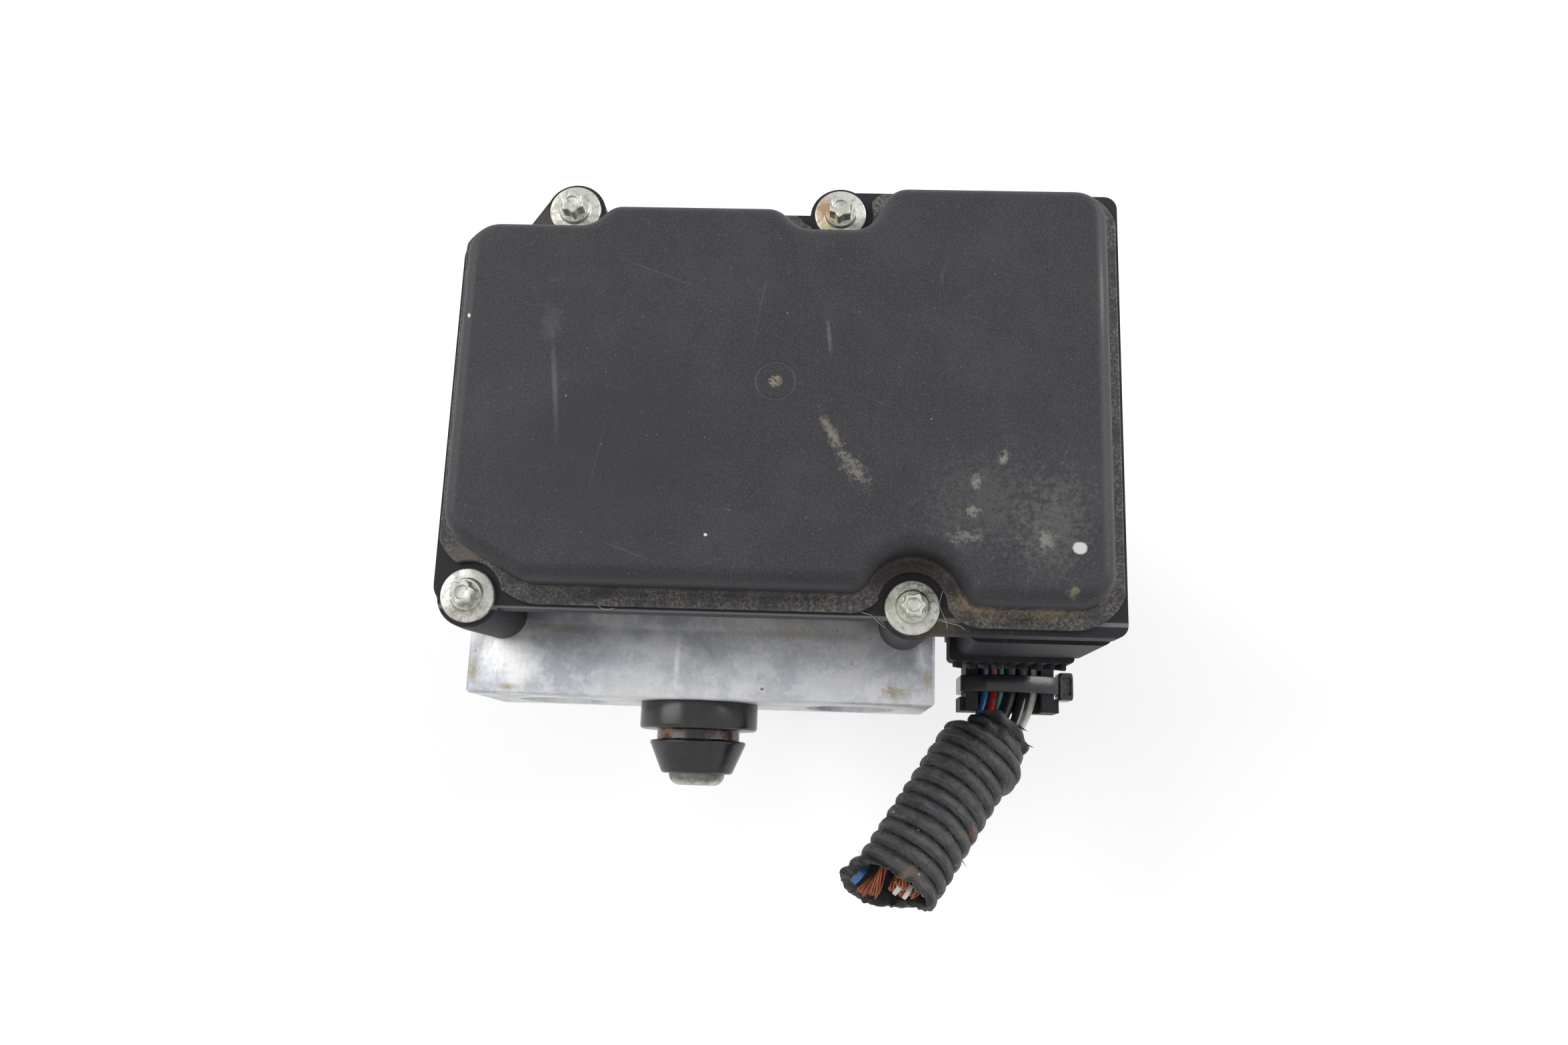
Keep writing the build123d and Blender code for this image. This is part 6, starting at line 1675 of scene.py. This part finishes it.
@dataclass
class CableTie:
    """Nylon band round the trough and wires, with its locking head."""

    left: float = 56.4
    right: float = 75.6
    foot: float = 62.0
    top: float = 71.0
    arch: float = 3.2
    y: float = -43.4
    width: float = 3.7
    thick: float = 1.2
    soft: float = 0.25
    head: Point = (3.1, 6.1, 6.0)

    def section(self) -> Array:
        """Middle line of the band, seen from the front: rounded foot and arched top."""
        half = self.thick / 2
        left, right, foot = self.left - half, self.right + half, self.foot - half
        crown = np.linspace(0.0, 1.0, 25)
        x = right + (left - right) * crown
        z = self.top + (self.arch + half) * np.sin(math.pi * crown) ** 0.9
        arch = [(float(a), float(b), 0.0) for a, b in zip(x, z)]
        return even_steps(closed_line([(left, foot, 0.8), (right, foot, 0.8), *arch], 5), 0.5)

    def build(self, palette: Palette) -> None:
        """Makes band and head: a rounded rectangle of (offset, y) carried along the section."""
        line = self.section()
        rim = box_line(self.thick / 2 - 0.03, self.width / 2, self.soft)
        flat = line[:, None, :] + outward(line)[:, None, :] * rim[None, :, 0:1]
        y = self.y + rim[None, :, 1] + 0.0 * flat[..., 0]
        grid = np.stack([flat[..., 0], y, flat[..., 1]], axis=-1)
        palette.dress(surface("cable_tie_band", grid, Ends.JOINED), "nylon", "cable_tie")
        palette.dress(self.build_head(), "nylon")

    def build_head(self) -> Object:
        """Makes the head: a superellipse in plan, drawn in at its top and foot."""
        width, depth, height = self.head
        angle = spokes(64)
        corners = [
            (0.0, 0.0, 0.0), (1.0, 0.0, 0.13), (1.0, 1.0, 0.13), (0.62, 1.0, 0.04), (0.58, 0.9, 0.04), (0.0, 0.9, 0.0)
        ]
        share, rise = rounded_line(corners, 4).T[:, None, :]
        turns = ((np.cos(angle), width), (np.sin(angle), depth))
        x, y = (np.sign(turn) * np.abs(turn) ** 0.25 * size / 2 * share for turn, size in turns)
        z = self.top - height + height * rise + 0.0 * x
        grid = np.stack([self.right + self.thick + width / 2 + x, self.y + y, z], axis=-1)
        return surface("cable_tie_head", grid, crease=30.0)


@dataclass
class HarnessPlug:
    """Hood with its trough, the ribs on the plug's flange, and the cable tie."""

    edge: float = 0.45
    rib: Point = (0.9, 1.5, 5.2)
    rib_places: tuple[float, ...] = (53.4, 56.1, 58.8, 61.5, 64.2, 66.9, 69.6, 72.3, 74.6)
    flange_front: float = -40.2
    rib_foot: float = 82.6

    def build(self, palette: Palette) -> None:
        """Makes and dresses the pieces."""
        for node, name in (("plug_cover", "plug_hood_moulded"), ("plug_body", "plug_body_moulded")):
            palette.dress(softened(node, name, self.edge), "housing_plastic", node)
        self.build_ribs(palette)
        CableTie().build(palette)

    def build_ribs(self, palette: Palette) -> None:
        """Makes the short ribs on the flange's front: rounded bars that lean and narrow downwards."""
        width, depth, height = self.rib
        half = width / 2
        plan = closed_line([(-half, 0.4, 0.1), (-half, -depth, 0.3), (half, -depth, 0.3), (half, 0.4, 0.1)], 3)
        share = np.array([0.0, 0.0, 0.06, 0.94, 1.0, 1.0])[None, :]
        size = np.array([0.0, 0.8, 1.0, 1.0, 0.85, 0.0])[None, :]
        over = self.flange_front + plan[:, 1:] * size * (0.55 + 0.45 * share)
        up = self.rib_foot + height * share + 0.0 * over
        lean = plan[:, :1] * size - 0.8 * (1.0 - share)
        grids = [np.stack([x + lean, over, up], axis=-1) for x in self.rib_places]
        palette.dress(bundle("plug_flange_ribs", grids, 40.0), "housing_plastic")


# ---------------------------------------------------------------------------------------------
# Studio
# ---------------------------------------------------------------------------------------------
@dataclass
class Studio:
    """Camera, lamps, floor and backdrop."""

    focal_pixels: float = 1803.05
    picture_width: float = 2352.0
    sensor: float = 36.0
    eye: Point = (24.947, -65.960, 337.319)
    turn: Point = (-0.2137, 0.0324, 0.0291)
    floor_reach: float = 3000.0
    world_level: float = 0.62
    aim: Point = (0.0, 0.0, 0.1)

    def camera(self) -> None:
        """Sets up the camera, which looks steeply down on the unit."""
        data = bpy.data.cameras.new("camera")
        data.sensor_width = self.sensor
        data.lens = self.focal_pixels * self.sensor / self.picture_width
        data.clip_start = 0.01
        vector = np.array(self.turn)
        size = float(np.linalg.norm(vector))
        rows = np.array(Matrix.Rotation(size, 3, tuple(vector / size))) @ np.diag([1.0, -1.0, -1.0])
        place = np.eye(4)
        place[:3, :3] = np.stack([rows[0], -rows[1], -rows[2]], axis=1)
        place[:3, 3] = np.array(self.eye) * MM
        holder = placed("camera", data)
        holder.matrix_world = Matrix(place.tolist())
        bpy.context.scene.camera = holder

    def floor(self) -> None:
        """Lays a wide pale floor."""
        far = self.floor_reach
        corners = np.array([(-far, -far, 0.0), (far, -far, 0.0), (far, far, 0.0), (-far, far, 0.0)])
        plane = mesh_from_arrays("floor", corners, [np.array([[0, 1, 2, 3]])])
        plane.data.materials.append(FloorPaper("floor_paper").make())

    def lamp(self, name: str, place: Point, size: float, watts: float) -> None:
        """Adds one square area lamp that faces the unit.

        Args:
            name: Name of the lamp.
            place: Where it hangs, in metres.
            size: Width in metres.
            watts: Power.
        """
        data = bpy.data.lights.new(name, "AREA")
        data.shape = "SQUARE"
        data.size = size
        data.energy = watts
        way = np.array(place) - np.array(self.aim)
        side = np.cross([0.0, 1.0, 0.0], way)
        side /= np.linalg.norm(side)
        way /= np.linalg.norm(way)
        turn = np.eye(4)
        turn[:3, :3] = np.stack([side, np.cross(way, side), way], axis=1)
        turn[:3, 3] = place
        placed(name, data).matrix_world = Matrix(turn.tolist())

    def world(self) -> None:
        """White surroundings, plain for the camera and for what reflects them."""
        world = bpy.data.worlds.new("white_room")
        world.use_nodes = True
        w = Wiring(world.node_tree)
        path = w.add("LightPath").outputs
        seen = w.math("MAXIMUM", path["Is Camera Ray"], path["Is Transmission Ray"])
        seen = w.math("MAXIMUM", seen, path["Is Glossy Ray"])
        lit = w.add("Background", {"Color": (1.0, 1.0, 1.0), "Strength": self.world_level})
        white = w.add("Background", {"Color": (1.0, 1.0, 1.0), "Strength": 1.0})
        mixed = w.add("MixShader", {0: seen, 1: lit.outputs[0], 2: white.outputs[0]})
        w.add("OutputWorld", {"Surface": mixed.outputs[0]})
        bpy.context.scene.world = world

    def build(self) -> None:
        """Makes the whole studio."""
        self.camera()
        self.floor()
        self.world()
        self.lamp("key_lamp", (-0.85, 0.3, 0.75), 0.8, 7.5)
        self.lamp("side_lamp", (0.95, 0.45, 0.65), 0.7, 8.5)
        bpy.context.scene.view_settings.view_transform = "Standard"


def main() -> None:
    """Builds the unit's looks round the frame."""
    logging.basicConfig(level=logging.INFO, format="%(name)s: %(message)s")
    Studio().build()
    palette = Palette()
    palette.dress_nodes()
    block = (HydraulicBlock(), AccumulatorSprings(), RubberMount(), PumpMotor())
    for assembly in (Harness(), HarnessPlug(), ControlUnit(), *block):
        assembly.build(palette)
        log.info("built %s", type(assembly).__name__)


if __name__ == "__main__":
    main()
